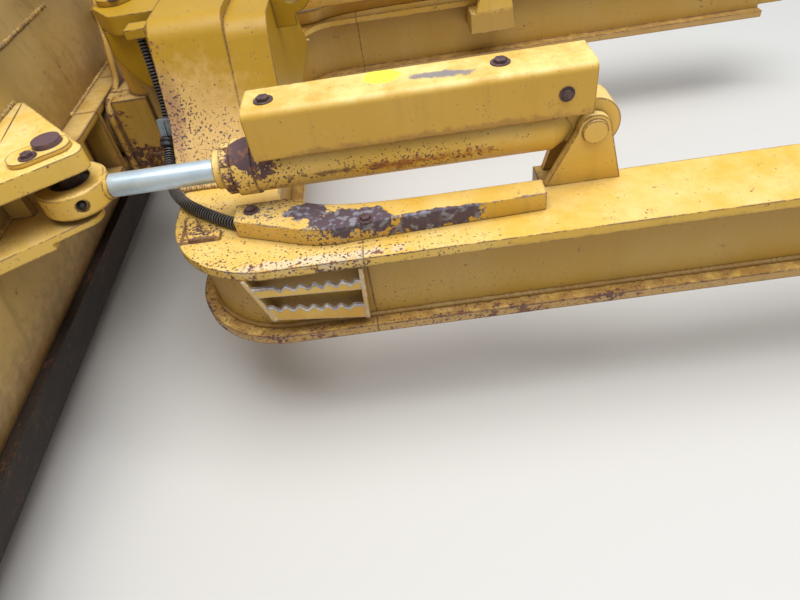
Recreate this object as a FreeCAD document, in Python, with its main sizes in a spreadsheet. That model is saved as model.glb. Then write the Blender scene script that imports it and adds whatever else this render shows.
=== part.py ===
import FreeCAD, Part
import math
import os
import Sketcher

# Angling and tilting blade on its push frame, in millimetres.
# X points forward to the blade, Y to the left, Z up.
# The origin is on the rear pivot axis, half way between the two arms.

document = FreeCAD.newDocument("BladeOnPushFrame")
sheet = document.addObject("Spreadsheet::Sheet", "Sizes")

# name, millimetres (degrees where said), what it is
sizeTable = [
    ("frameHalf", 750, "outer edge of an arm from the centreline"),
    ("armWidth", 180, "width of an arm's top and bottom plates"),
    ("frameRise", 108, "top of the frame above the pivot axis, and its bottom below"),
    ("plateThick", 22, "top and bottom plates"),
    ("webInset", 35, "how far the webs lie inside the plates' edges"),
    ("frameFront", 1985, "front edge of the cross member"),
    ("crossDepth", 230, "cross member, front to back"),
    ("armStub", 195, "straight stub behind the cross member, up to the arm's seam"),
    ("armRear", 84, "rear end of an arm's box"),
    ("cornerRadius", 230, "outer corners of the frame"),
    ("throatRadius", 120, "inner corners of the frame"),
    ("pivotRadius", 78, "outside of a rear pivot eye"),
    ("pivotBore", 40, "bore radius of a rear pivot eye"),
    ("pivotWidth", 96, "width of a rear pivot eye"),
    ("padWidth", 26, "L-shaped raised pad on the frame's corner, width of its strips"),
    ("padRise", 8, "height of that pad"),
    ("padBehind", 23, "front of that pad behind the frame's front edge"),
    ("padLength", 94, "that pad, front to back"),
    ("padSpan", 85, "that pad, along the frame's front edge"),
    ("towerLead", 15, "how far the tower stands ahead of the cross member"),
    ("towerTop", 430, "top of the tower above the pivot axis"),
    ("towerSide", 196, "edge of the tower's flat top inside its foot"),
    ("towerGap", 71, "foot of the tower to the cylinder's collar"),
    ("kneeInset", 110, "knee of the tower's side, inside its foot"),
    ("kneeRise", 117, "that knee above the frame"),
    ("kneeRadius", 250, "hollow curve at the knee"),
    ("shoulderRadius", 60, "round shoulder of the tower"),
    ("towerStep", 20, "how far the tower's front half stands over its rear half"),
    ("ridgeBack", 160, "step between the tower's halves, behind the frame's front edge"),
    ("towerTail", 30, "how far the tower reaches behind the cross member"),
    ("kingLead", 140, "vertical pivot axis ahead of the frame"),
    ("kingPinRadius", 35, "vertical pivot pin"),
    ("lugHalf", 123, "half width of the tower's lugs"),
    ("lugRadius", 52, "upper and lower lug, ahead of the vertical pin"),
    ("lugThick", 45, "thickness of the tower's lugs"),
    ("lowerLugTop", -15, "top of the lower lug"),
    ("lugWebThick", 14, "webs under the upper lug"),
    ("lugWebReach", 157, "those webs, rear to front"),
    ("lugWebDrop", 170, "those webs, top to bottom"),
    ("pinPlay", 0.05, "radial running clearance of the pins"),
    ("earInner", 70, "lift ears, inner side from the centreline"),
    ("earThick", 25, "thickness of a lift ear"),
    ("earBore", 24, "bore radius of a lift ear"),
    ("earRadius", 48, "outside of a lift ear"),
    ("earBack", 52, "lift ear's bore behind the tower"),
    ("earBelow", 15, "lift ear's bore below the tower's top"),
    ("yokeRadius", 60, "yoke's hub on the vertical pin"),
    ("neckHalf", 72, "half width of the yoke's neck"),
    ("yokePlay", 4, "gap between hub and lugs"),
    ("capRadius", 98, "collar low on the yoke's hub"),
    ("capThick", 55, "that collar, top to bottom"),
    ("axisHeight", 226, "angle cylinders above the rear pivot"),
    ("tiltPivotHeight", 110, "fore and aft tilt pivot above the rear pivot"),
    ("tiltPinRadius", 60, "fore and aft tilt pivot"),
    ("hubRadius", 84, "tilt hub on the blade's back"),
    ("hubPlay", 5, "yoke's front plate to the blade's pieces"),
    ("tiltPlateBack", 101, "yoke's front plate ahead of the vertical pin"),
    ("tiltPlateThick", 21, "yoke's front plate"),
    ("tiltHalf", 300, "tilt cylinder's pins from the centreline"),
    ("tiltRise", 466, "tilt cylinder above the tilt pivot"),
    ("tiltAxis", 175, "tilt cylinder ahead of the vertical pin"),
    ("tiltBarrelRadius", 36, "tilt cylinder's barrel"),
    ("tiltBarrelEnd", 60, "barrel's mouth beyond the centreline"),
    ("tiltRodRadius", 18, "tilt cylinder's rod"),
    ("tiltPinSize", 18, "tilt cylinder's pins, radius"),
    ("tiltEyeRadius", 34, "tilt cylinder's eyes"),
    ("tiltEyeWidth", 44, "width of the tilt cylinder's eyes"),
    ("cylinderInset", 210, "angle cylinders inside the arms' outer edges"),
    ("eyeAhead", 30, "rod's eyes ahead of the vertical pin"),
    ("barrelRadius", 55, "angle cylinder's barrel"),
    ("barrelBore", 46, "bore radius of the barrel"),
    ("barrelPin", 1070, "angle cylinder's rear pin"),
    ("barrelEnd", 1803, "front of the barrel's collar"),
    ("collarRadius", 59, "collar at the barrel's front end"),
    ("collarLength", 42, "collar, front to back"),
    ("glandRadius", 50, "gland"),
    ("glandLength", 25, "gland, front to back"),
    ("sealRadius", 40, "rod's wiper ahead of the gland"),
    ("sealLength", 18, "that wiper, front to back"),
    ("rodRadius", 25, "chromed rod"),
    ("pistonFrom", 1400, "rear of the piston"),
    ("pistonLength", 50, "piston, front to back"),
    ("eyeRadius", 75, "rod's eye"),
    ("eyeThick", 56, "thickness of the rod's eye"),
    ("eyeBore", 42, "bore radius of the rod's eye"),
    ("eyeRound", 5, "rounded rim of the rod's eye"),
    ("eyeSink", 6, "how far the rod is let into its eye"),
    ("neckRadius", 36, "neck between rod and eye"),
    ("recessRadius", 14, "greasing recess in the eye's side"),
    ("recessDepth", 9, "depth of that recess"),
    ("bearingInset", 9, "bearing below the eye's faces"),
    ("clevisPin", 23, "clevis pin, radius"),
    ("pinHeadRadius", 28.5, "head of the clevis pin"),
    ("clevisGapTop", 36, "eye to the clevis's upper plate"),
    ("clevisGapLow", 13, "eye to the clevis's lower plate"),
    ("clevisThick", 40, "upper clevis plate"),
    ("clevisNoseThick", 15, "lower clevis plate at its nose"),
    ("clevisLowThick", 29, "lower clevis plate at the blade"),
    ("clevisNoseReach", 43, "that thin nose, ahead of the rod's eye"),
    ("clevisRound", 25, "round nose of the clevis's upper plate"),
    ("clevisApex", 84, "corner of the upper plate's sides behind the pin"),
    ("clevisLean", 29, "noses of both clevis plates outside the pin"),
    ("clevisInner", 246, "upper plate's inner side from the pin"),
    ("clevisOuter", 177, "upper plate's outer side from the pin"),
    ("clevisSquare", 10, "straight ends of the upper plate's sides, at the blade"),
    ("noseRound", 42, "round end of the clevis's lower plate"),
    ("noseApex", 71, "corner of the lower plate's sides behind the pin"),
    ("lowSpread", 208, "half width of the lower plate at the blade"),
    ("clevisWebThick", 22, "web between the clevis's plates"),
    ("clevisWebGap", 37, "that web ahead of the eye"),
    ("flagBack", 40, "pin's retaining plate behind the pin"),
    ("flagAhead", 84, "pin's retaining plate ahead of the pin"),
    ("flagInner", 22, "retaining plate's inner side from the pin"),
    ("flagOuter", 46, "retaining plate's outer side from the pin"),
    ("flagRound", 30, "round corners of the retaining plate"),
    ("flagThick", 10, "retaining plate"),
    ("guardAhead", 8, "rear end of the guard ahead of the cylinder's rear pin"),
    ("guardBehind", 55, "front end of the guard behind the barrel's end"),
    ("guardSide", 65, "guard's outer side from the cylinder's axis"),
    ("guardInner", 35, "guard's inner edge from the cylinder's axis"),
    ("guardTop", 145, "guard's top above the cylinder's axis"),
    ("guardLow", 43, "guard's lower edge above the cylinder's axis"),
    ("guardThick", 8, "guard's plate"),
    ("guardBend", 16, "outer radius of the guard's bend"),
    ("postHalf", 25, "half length of a guard's post"),
    ("postWide", 18, "half width of a guard's post"),
    ("rearPostAt", 171, "rear bolt of the guard, from its rear end"),
    ("frontPostAt", 43, "front bolt of the guard, from its front end"),
    ("baseEyeRadius", 58, "eye at the barrel's rear end"),
    ("baseEyeWidth", 70, "width of that eye"),
    ("basePinRadius", 25, "pin in that eye"),
    ("cheekThick", 20, "cheeks of the cylinder's base bracket"),
    ("cheekGap", 3, "cheek to eye, each side"),
    ("cheekRadius", 34, "round top of the cheeks"),
    ("cheekFoot", 60, "how far a cheek's foot spreads ahead"),
    ("cheekFloor", 20, "lower edge of the inner cheek"),
    ("stepBehind", 203, "front end of the step behind the frame's front edge"),
    ("stepLength", 188, "step, front to back"),
    ("stepDepth", 6, "plate of the step's bars"),
    ("stepHigh", 66, "teeth of the upper bar above the pivot axis"),
    ("stepDrop", 72, "upper bar to lower bar"),
    ("toothPitch", 14, "one tooth of the step's bars"),
    ("toothRise", 9, "height of those teeth"),
    ("barRise", 12, "step's bars below their teeth"),
    ("coverBehind", 158, "mouth of the hose cover behind the frame's front edge"),
    ("coverLead", 192, "mouth of the cover to its bend"),
    ("coverLength", 647, "hose cover, front to back"),
    ("coverAway", 34, "cover's inner side outside the cylinder's axis"),
    ("coverMouth", 50, "width of the cover at its mouth"),
    ("coverEdge", 50, "cover's outer side at its bend, inside the arm's edge"),
    ("coverTail", 74, "cover's outer side at its rear end, inside the arm's edge"),
    ("coverRise", 44, "cover above the arm"),
    ("coverThick", 6, "plate of the cover"),
    ("conduitRadius", 13.5, "ribbed conduit over the hoses"),
    ("connectorHalf", 19, "half width of the conduit's connector"),
    ("connectorLow", 176, "lower end of that connector"),
    ("connectorHigh", 222, "upper end of that connector"),
    ("bladeHalf", 1600, "half width of the blade"),
    ("backRadius", 1000, "radius of the mouldboard's back"),
    ("bladeLead", 193, "mouldboard's back ahead of the vertical pin"),
    ("backHeight", 180, "height at which the mouldboard lies furthest back"),
    ("mouldThick", 14, "mouldboard plate"),
    ("bladeTop", 745, "top of the mouldboard"),
    ("mouldFoot", -330, "bottom of the mouldboard"),
    ("beamDrop", 185, "top beam, below the blade's top"),
    ("beamProud", 60, "top beam's lower corner ahead of the mouldboard's back"),
    ("beamShort", 120, "top beam, shorter than the blade at each end"),
    ("stripHigh", -127, "top of the bottom beam"),
    ("stripLow", -310, "foot of the bottom beam"),
    ("stripThick", 25, "bottom beam's plate"),
    ("stripShort", 60, "bottom beam, shorter than the blade at each end"),
    ("ribThick", 18, "ribs on the blade's back"),
    ("ribDepth", 18, "how far a rib stands behind the mouldboard"),
    ("ribFoot", -80, "foot of a rib"),
    ("ribHigh", 420, "where a rib meets the top beam's slope"),
    ("ribGap", 363, "inner rib from the clevis"),
    ("outerRibAt", 110, "outer rib from the blade's end"),
    ("boxInner", 112, "backing box of the blade, inner side"),
    ("boxShort", 195, "backing box's outer side, inside the angle cylinder's axis"),
    ("boxBend", 83, "bend of the box's rear face, inside its outer side"),
    ("boxRound", 60, "round bend of the box's rear face"),
    ("boxHigh", 205, "backing box, top"),
    ("boxLow", 20, "backing box, foot"),
    ("boxWall", 18, "plates of the backing boxes"),
    ("groundDrop", 408, "ground below the rear pivot"),
    ("edgeThick", 20, "cutting edge"),
    ("edgeHeight", 205, "cutting edge, top to bottom"),
    ("edgeBevel", 12, "bevel at the cutting edge's foot"),
    ("endBitWidth", 300, "end bits, along the blade"),
    ("endPlateThick", 16, "end plates"),
    ("endPlateBack", 40, "end plate behind the mouldboard's back"),
    ("endPlateFront", 90, "end plate ahead of the mouldboard's back"),
    ("endPlateFoot", -190, "foot of an end plate"),
    ("bindRim", 12, "rim of yoke and cylinder brackets around their pins"),
    ("through", 5, "how far a cut reaches past the piece it cuts"),
    ("seat", 0.3, "gap left where a piece is seated on the curved back"),
]
for row, (name, number, note) in enumerate(sizeTable, start=1):
    sheet.set(f"A{row}", name)
    sheet.set(f"B{row}", str(number))
    sheet.set(f"C{row}", note)
    sheet.setAlias(f"B{row}", name)
document.recompute()


class Size:
    """A length with the expression that ties it to the sheet."""

    def __init__(self, text, number):
        self.text = text
        self.number = float(number)

    def __add__(self, other):
        other = asSize(other)
        return Size(f"({self.text} + {other.text})", self.number + other.number)

    def __sub__(self, other):
        other = asSize(other)
        return Size(f"({self.text} - {other.text})", self.number - other.number)

    def __mul__(self, other):
        other = asSize(other)
        return Size(f"({self.text} * {other.text})", self.number * other.number)

    def __truediv__(self, other):
        other = asSize(other)
        return Size(f"({self.text} / {other.text})", self.number / other.number)

    def root(self):
        return Size(f"sqrt({self.text})", math.sqrt(self.number))

    def __neg__(self):
        return Size(f"(0 - {self.text})", -self.number)

    __radd__ = __add__
    __rmul__ = __mul__

    def __rsub__(self, other):
        return asSize(other) - self


def asSize(value):
    return value if isinstance(value, Size) else Size(repr(float(value)), value)


class Sheet:
    """Every size of the sheet, by its name."""


of = Sheet()
for name, number, note in sizeTable:
    setattr(of, name, Size(f"Sizes.{name}", sheet.get(name)))


def bind(thing, **sizes):
    for name, value in sizes.items():
        thing.setExpression(name, asSize(value).text)


def place(thing, x, y, z, rotation=None):
    if rotation is not None:
        thing.Placement = FreeCAD.Placement(FreeCAD.Vector(0, 0, 0), rotation)
    for axis, value in zip("xyz", (x, y, z)):
        thing.setExpression(f"Placement.Base.{axis}", asSize(value).text)
    return thing


turned = {
    "X": FreeCAD.Rotation(FreeCAD.Vector(0, 1, 0), 90),
    "Y": FreeCAD.Rotation(FreeCAD.Vector(1, 0, 0), -90),
    "Z": FreeCAD.Rotation(),
}


def box(x, y, z):
    """A block between pairs of sizes."""
    block = document.addObject("Part::Box", "Block")
    bind(block, Length=asSize(x[1]) - x[0], Width=asSize(y[1]) - y[0], Height=asSize(z[1]) - z[0])
    return place(block, x[0], y[0], z[0])


def rod(axis, radius, start, end, across):
    """A cylinder along an axis, from start to end; across holds its two other coordinates."""
    cylinder = document.addObject("Part::Cylinder", "Round")
    bind(cylinder, Radius=radius, Height=asSize(end) - start)
    first, second = across
    where = {"X": (start, first, second), "Y": (first, start, second), "Z": (first, second, start)}
    return place(cylinder, *where[axis], turned[axis])


def taper(axis, radius, endRadius, start, end, across):
    """A cone along an axis, from one radius to the other."""
    cone = document.addObject("Part::Cone", "Taper")
    bind(cone, Radius1=radius, Radius2=endRadius, Height=asSize(end) - start)
    first, second = across
    where = {"X": (start, first, second), "Y": (first, start, second), "Z": (first, second, start)}
    return place(cone, *where[axis], turned[axis])


def join(*pieces):
    union = document.addObject("Part::MultiFuse", "Union")
    union.Shapes = list(pieces)
    return union


def cut(base, *tools):
    for tool in tools:
        difference = document.addObject("Part::Cut", "Difference")
        difference.Base = base
        difference.Tool = tool
        base = difference
    return base


def overlap(first, second):
    shared = document.addObject("Part::Common", "Shared")
    shared.Base = first
    shared.Tool = second
    return shared


def mirrored(source):
    """The same piece on the other side of the centreline."""
    copy = document.addObject("Part::Mirroring", "Mirrored")
    copy.Source = source
    copy.Normal = FreeCAD.Vector(0, 1, 0)
    return copy


def cornerArc(before, corner, after, radius):
    """Start, middle and end of the arc that rounds a corner."""
    inward = (before - corner).normalize()
    outward = (after - corner).normalize()
    half = inward.getAngle(outward) / 2
    setback = radius / math.tan(half)
    bisector = (inward + outward).normalize()
    centre = corner + bisector * (radius / math.sin(half))
    return corner + inward * setback, centre - bisector * radius, corner + outward * setback


def outlineSketch(body, plane, outline):
    """A closed outline of corners (across, up, radius), with every corner tied to the sheet."""
    sketch = body.newObject("Sketcher::SketchObject", "Outline")
    origin = next(item for item in body.Origin.OriginFeatures if item.Role == plane)
    sketch.AttachmentSupport = [(origin, "")]
    sketch.MapMode = "FlatFace"
    corners = [tuple(asSize(value) for value in corner) for corner in outline]
    points = [FreeCAD.Vector(across.number, up.number, 0) for across, up, radius in corners]
    count = len(points)
    starts, ends, arcs = [], [], {}
    for index, point in enumerate(points):
        radius = corners[index][2].number
        if radius:
            arc = cornerArc(points[index - 1], point, points[(index + 1) % count], radius)
            arcs[index] = arc
            ends.append(arc[0])
            starts.append(arc[2])
        else:
            ends.append(point)
            starts.append(point)
    lines = [sketch.addGeometry(Part.LineSegment(starts[index], ends[(index + 1) % count]), False)
             for index in range(count)]
    for index, (across, up, radius) in enumerate(corners):
        before, after = lines[index - 1], lines[index]
        if index in arcs:
            start, middle, end = arcs[index]
            leftTurn = (middle - start).cross(end - middle).z > 0
            first, last = (1, 2) if leftTurn else (2, 1)
            ordered = (start, middle, end) if leftTurn else (end, middle, start)
            arc = sketch.addGeometry(Part.Arc(*ordered), False)
            sketch.addConstraint(Sketcher.Constraint("Tangent", before, 2, arc, first))
            sketch.addConstraint(Sketcher.Constraint("Tangent", arc, last, after, 1))
            tied(sketch, Sketcher.Constraint("Radius", arc, radius.number), radius)
            mark = sketch.addGeometry(Part.Point(points[index]), True)
            sketch.addConstraint(Sketcher.Constraint("PointOnObject", mark, 1, before))
            sketch.addConstraint(Sketcher.Constraint("PointOnObject", mark, 1, after))
            corner = (mark, 1)
        else:
            sketch.addConstraint(Sketcher.Constraint("Coincident", before, 2, after, 1))
            corner = (after, 1)
        tied(sketch, Sketcher.Constraint("DistanceX", -1, 1, *corner, across.number), across)
        tied(sketch, Sketcher.Constraint("DistanceY", -1, 1, *corner, up.number), up)
    return sketch


def tied(sketch, constraint, size):
    index = sketch.addConstraint(constraint)
    sketch.setExpression(f"Constraints[{index}]", size.text)


def plate(plane, outline, low, high):
    """An outline on a plane, padded from low to high along that plane's axis."""
    body = document.addObject("PartDesign::Body", "Plate")
    sketch = outlineSketch(body, plane, outline)
    pad = body.newObject("PartDesign::Pad", "Thickness")
    pad.Profile = sketch
    bind(pad, Length=asSize(high) - low)
    along = {"XY_Plane": (0, 0, low), "XZ_Plane": (0, high, 0), "YZ_Plane": (low, 0, 0)}
    return place(body, *along[plane])


subParts = []


def keep(thing, label):
    thing.Label = label
    subParts.append(thing)
    return thing


def keepPair(thing, label):
    keep(thing, f"left_{label}")
    keep(mirrored(thing), f"right_{label}")
    return thing


through = of.through
angleHalf = of.frameHalf - of.cylinderInset

# Push frame: two box arms and a cross member with rounded corners.
frameTop = of.frameRise
frameFloor = -of.frameRise
armInner = of.frameHalf - of.armWidth
crossRear = of.frameFront - of.crossDepth
armSeam = crossRear - of.armStub


def armLayer(inset, low, high):
    return box((of.armRear, armSeam), (armInner + inset, of.frameHalf - inset), (low, high))


def crossOutline(inset):
    front = of.frameFront - inset
    rear = crossRear + inset
    outer = of.frameHalf - inset
    inner = armInner + inset
    corner = of.cornerRadius - inset
    throat = of.throatRadius + inset
    left = [(armSeam, outer, 0), (front, outer, corner)]
    leftInner = [(rear, inner, throat), (armSeam, inner, 0)]
    right = [(across, -up, radius) for across, up, radius in reversed(left)]
    rightInner = [(across, -up, radius) for across, up, radius in reversed(leftInner)]
    return left + right + rightInner + leftInner


def crossLayer(inset, low, high):
    return plate("XY_Plane", crossOutline(inset), low, high)


def threeLayers(layer):
    return [layer(0, frameTop - of.plateThick, frameTop),
            layer(of.webInset, frameFloor + of.plateThick, frameTop - of.plateThick),
            layer(0, frameFloor, frameFloor + of.plateThick)]


def cornerPad(side):
    """The L-shaped pad on a corner of the frame's top."""
    front = of.frameFront - of.padBehind
    rear = front - of.padLength
    outer = angleHalf + of.coverAway + of.coverMouth
    inner = outer - of.padSpan
    corners = [(rear, outer, 0), (front - of.padWidth, outer, of.padWidth / 2), (front, inner, 0),
               (front - of.padWidth, inner, 0), (front - of.padWidth * 2, outer - of.padWidth, 0),
               (rear, outer - of.padWidth, 0)]
    return plate("XY_Plane", [(across, up * side, radius) for across, up, radius in corners],
                 frameTop, frameTop + of.padRise)


keepPair(join(*threeLayers(armLayer)), "arm")
keep(join(*threeLayers(crossLayer), cornerPad(1), cornerPad(-1)), "cross_member")

# Rear pivot eyes, with a forged neck that runs into the arm's end.
armMiddle = of.frameHalf - of.armWidth / 2
eyeFrom = armMiddle - of.pivotWidth / 2
eyeTo = armMiddle + of.pivotWidth / 2
pivotEye = cut(join(rod("Y", of.pivotRadius, eyeFrom, eyeTo, (0, 0)),
                    box((0, of.armRear), (eyeFrom, eyeTo), (-of.pivotRadius, of.pivotRadius))),
               rod("Y", of.pivotBore, eyeFrom - through, eyeTo + through, (0, 0)))
keepPair(pivotEye, "pivot_eye")

# Tower: a saddle that rises from both corners to the lugs in the middle.
towerFront = of.frameFront + of.towerLead
towerRear = crossRear - of.towerTail
towerRidge = of.frameFront - of.ridgeBack
towerFootHalf = angleHalf - of.collarRadius - of.towerGap


def towerOutline(top):
    half = [(towerFootHalf, frameTop, 0),
            (towerFootHalf - of.kneeInset, frameTop + of.kneeRise, of.kneeRadius),
            (towerFootHalf - of.towerSide, top, of.shoulderRadius)]
    return half + [(-across, up, radius) for across, up, radius in reversed(half)]


lugFloor = of.towerTop - of.lugThick
webProfile = [(-through, lugFloor, 0), (-through, lugFloor - of.lugWebDrop, 0),
              (of.lugWebReach * 0.65, lugFloor - of.lugWebDrop * 0.82, 0),
              (of.lugWebReach, lugFloor - of.lugWebDrop * 0.4, of.lugThick / 2),
              (of.lugWebReach, lugFloor, 0)]
lugWeb = plate("XZ_Plane", webProfile, -of.lugWebThick, 0)
place(lugWeb, towerFront, of.lugHalf, 0, FreeCAD.Rotation(FreeCAD.Vector(0, 0, 1), -15))
rearHalf = plate("YZ_Plane", towerOutline(of.towerTop - of.towerStep), towerRear, towerRidge)
frontHalf = plate("YZ_Plane", towerOutline(of.towerTop), towerRidge, towerFront)
keep(join(rearHalf, frontHalf, lugWeb, mirrored(lugWeb)), "tower")

# Lugs that hold the vertical pin.
kingReach = of.frameFront + of.kingLead
pinHole = rod("Z", of.kingPinRadius + of.pinPlay, frameFloor, of.towerTop + through, (kingReach, 0))


def lug(rear, low, high):
    front = kingReach + of.lugRadius
    half = [(rear, of.lugHalf, 0), (kingReach - of.lugWebThick, of.lugHalf, of.lugRadius / 2),
            (front, of.kingPinRadius, of.lugRadius * 0.7)]
    outline = half + [(across, -up, radius) for across, up, radius in reversed(half)]
    return cut(plate("XY_Plane", outline, low, high), pinHole)


keep(lug(towerFront, lugFloor, of.towerTop), "upper_lug")
lowerLugFloor = of.lowerLugTop - of.lugThick
keep(lug(of.frameFront - of.webInset, lowerLugFloor, of.lowerLugTop), "lower_lug")
kingHead = of.kingPinRadius * 1.3
keep(join(rod("Z", of.kingPinRadius, lowerLugFloor - of.lugWebThick, of.towerTop, (kingReach, 0)),
          rod("Z", kingHead, of.towerTop, of.towerTop + of.lugWebThick, (kingReach, 0))), "king_pin")

# Lift ears on the tower's rear.
earOuter = of.earInner + of.earThick
earAt = (towerRear - of.earBack, of.towerTop - of.earBelow)
earRoot = (earAt[1] - of.earRadius * 1.6, of.towerTop - of.towerStep)
liftEar = cut(join(box((earAt[0], towerRear), (of.earInner, earOuter), earRoot),
                   rod("Y", of.earRadius, of.earInner, earOuter, earAt)),
              rod("Y", of.earBore, of.earInner - through, earOuter + through, earAt))
keepPair(liftEar, "lift_ear")

# Base brackets of the angle cylinders: two cheeks, a bridge to the arm and the pin.
baseAt = (of.barrelPin, of.axisHeight)
innerCheek = angleHalf - of.baseEyeWidth / 2 - of.cheekGap
outerCheek = angleHalf + of.baseEyeWidth / 2 + of.cheekGap
pinReach = of.cheekThick * 4 / 3


def cheek(low, foot):
    back = of.barrelPin - of.cheekRadius
    front = of.barrelPin + of.cheekRadius
    blank = plate("XZ_Plane", [(back - of.cheekFoot / 2, foot, 0), (front + of.cheekFoot, foot, 0),
                               (front, of.axisHeight, 0), (back, of.axisHeight, 0)], low, low + of.cheekThick)
    return join(blank, rod("Y", of.cheekRadius, low, low + of.cheekThick, baseAt))


baseBracket = join(
    cheek(innerCheek - of.cheekThick, of.cheekFloor), cheek(outerCheek, frameTop),
    box((of.barrelPin - of.cheekRadius, of.barrelPin + of.cheekRadius + of.cheekFoot),
        (innerCheek - of.cheekThick, armInner + of.webInset), (of.cheekFloor, frameTop - of.plateThick)),
    rod("Y", of.basePinRadius, innerCheek - pinReach, outerCheek + pinReach, baseAt))
keepPair(baseBracket, "base_bracket")

# Steps: two toothed bars, one above the other, between brackets on the arm's web.
webFace = of.frameHalf - of.webInset
barFace = of.frameHalf - of.stepDepth
stepFront = of.frameFront - of.stepBehind
stepRear = stepFront - of.stepLength
toothCount = int(of.stepLength.number // of.toothPitch.number)


def toothedBar(top):
    """A bar whose top edge is a row of teeth."""
    foot = top - of.toothRise - of.barRise
    outline = [(stepRear, foot, 0), (stepFront, foot, 0), (stepFront, top - of.toothRise, 0)]
    for tooth in range(toothCount):
        outline.append((stepFront - of.toothPitch * (tooth + 0.5), top, 0))
        outline.append((stepFront - of.toothPitch * (tooth + 1), top - of.toothRise, 0))
    if stepRear.number < outline[-1][0].number:
        outline.append((stepRear, top - of.toothRise, 0))
    return plate("XZ_Plane", outline, barFace, of.frameHalf)


def stepBracket(rear):
    low = of.stepHigh - of.stepDrop - of.toothRise - of.barRise
    return box((rear, rear + of.stepDepth), (webFace, of.frameHalf), (low, of.stepHigh - of.toothRise))


step = join(toothedBar(of.stepHigh), toothedBar(of.stepHigh - of.stepDrop), stepBracket(stepRear),
            stepBracket(stepFront - of.stepDepth))
keepPair(step, "step")


# Folded covers over the hoses on top of the arms, open at both ends.
def coverLayer(inset, low, high):
    front = of.frameFront - of.coverBehind
    inner = angleHalf + of.coverAway
    outline = [(front, inner + inset, 0), (front, inner + of.coverMouth - inset, 0),
               (front - of.coverLead, of.frameHalf - of.coverEdge - inset, of.throatRadius),
               (front - of.coverLength, of.frameHalf - of.coverTail - inset, 0),
               (front - of.coverLength, inner + inset, 0)]
    return plate("XY_Plane", outline, low, high)


coverTop = frameTop + of.coverRise
hollow = coverLayer(of.coverThick, frameTop, coverTop - of.coverThick)
keepPair(cut(coverLayer(0, frameTop, coverTop), hollow), "hose_cover")

# Ribbed conduit, from a block on the tower, down its front and under the left rod into the hose cover.
# Each point is ahead of the frame's front edge, outside the cylinder's axis and above the frame's top.
routeOffsets = [(39, -344, 296), (39, -328, 192), (41, -308, 107), (49, -250, 42), (39, -160, 16),
                (0, -70, 14), (-85, 7, 14), (-159, 60, 14), (-245, 96, 14)]
conduitRoute = [(of.frameFront.number + ahead, angleHalf.number + aside, frameTop.number + above)
                for ahead, aside, above in routeOffsets]


def tubeWire(points):
    """Straight runs joined by tangent arcs."""
    points = [FreeCAD.Vector(*point) for point in points]
    edges, reached = [], points[0]
    for before, corner, after in zip(points, points[1:], points[2:]):
        inward, outward = (before - corner), (after - corner)
        turn = math.pi - inward.getAngle(outward)
        radius = 0.45 * min(inward.Length, outward.Length) / math.tan(turn / 2)
        print("conduit radius", round(radius))
        start, middle, end = cornerArc(before, corner, after, radius)
        edges += [Part.LineSegment(reached, start).toShape(), Part.Arc(start, middle, end).toShape()]
        reached = end
    edges.append(Part.LineSegment(reached, points[-1]).toShape())
    return Part.Wire(edges)


route = document.addObject("Part::Feature", "ConduitRoute")
route.Shape = tubeWire(conduitRoute)
mouth = document.addObject("Part::Circle", "ConduitMouth")
bind(mouth, Radius=of.conduitRadius)
first, second = [FreeCAD.Vector(*point) for point in conduitRoute[:2]]
mouth.Placement = FreeCAD.Placement(first, FreeCAD.Rotation(FreeCAD.Vector(0, 0, 1), second - first))
conduit = document.addObject("Part::Sweep", "Conduit")
conduit.Sections = [mouth]
conduit.Spine = (route, [f"Edge{index + 1}" for index in range(len(route.Shape.Edges))])
conduit.Solid = True
keep(conduit, "conduit")
document.recompute()
print("conduit volume over section times length",
      round(conduit.Shape.Volume / (math.pi * of.conduitRadius.number ** 2 * route.Shape.Length), 4))

start = conduitRoute[0]
blockHalf = of.connectorHalf + of.coverThick
blockAcross = (start[1] - blockHalf, start[1] + blockHalf)
keep(box((towerFront, start[0] + blockHalf), blockAcross, (start[2], of.towerTop - through)), "conduit_block")
joint = [(upper * 2 + lower) / 3 for upper, lower in zip(conduitRoute[2], conduitRoute[3])]
keep(box((joint[0] - of.connectorHalf, joint[0] + of.connectorHalf),
         (joint[1] - of.connectorHalf, joint[1] + of.connectorHalf), (of.connectorLow, of.connectorHigh)),
     "conduit_connector")

# Yoke between the lugs, with its tilt pin and the arm that carries the tilt cylinder.
yokeLow = of.lowerLugTop + of.yokePlay
yokeHigh = lugFloor - of.yokePlay
plateRear = kingReach + of.tiltPlateBack
plateFront = plateRear + of.tiltPlateThick
mouldBack = kingReach + of.bladeLead
tiltLine = kingReach + of.tiltAxis
tiltHeight = of.tiltPivotHeight + of.tiltRise
yokeSide = of.neckHalf + of.bindRim
armEnd = of.tiltHalf + of.tiltEyeRadius + of.bindRim
armTop = tiltHeight + of.tiltEyeRadius + of.bindRim
armFoot = tiltHeight - of.tiltEyeRadius - of.bindRim
armInnerSide = of.tiltHalf - of.tiltEyeRadius - of.bindRim
yokeOutline = [(yokeSide, yokeLow, of.bindRim), (yokeSide, of.boxHigh, of.tiltPinRadius),
               (-yokeSide / 2, of.boxHigh, of.tiltPinRadius), (-armInnerSide, armTop, of.bindRim),
               (-armEnd, armTop, of.tiltEyeRadius), (-armEnd, armFoot, of.tiltEyeRadius),
               (-yokeSide, of.tiltPivotHeight, of.tiltPinRadius), (-yokeSide, yokeLow, of.bindRim)]
yokePlate = plate("YZ_Plane", yokeOutline, plateRear, plateFront)
yokeHub = cut(join(rod("Z", of.yokeRadius, yokeLow, yokeHigh, (kingReach, 0)),
                   rod("Z", of.capRadius, yokeLow, yokeLow + of.capThick, (kingReach, 0)),
                   box((kingReach, plateRear), (-of.neckHalf, of.neckHalf), (yokeLow, of.boxHigh))),
              rod("Z", of.kingPinRadius + of.pinPlay, yokeLow - through, yokeHigh + through, (kingReach, 0)))
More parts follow.
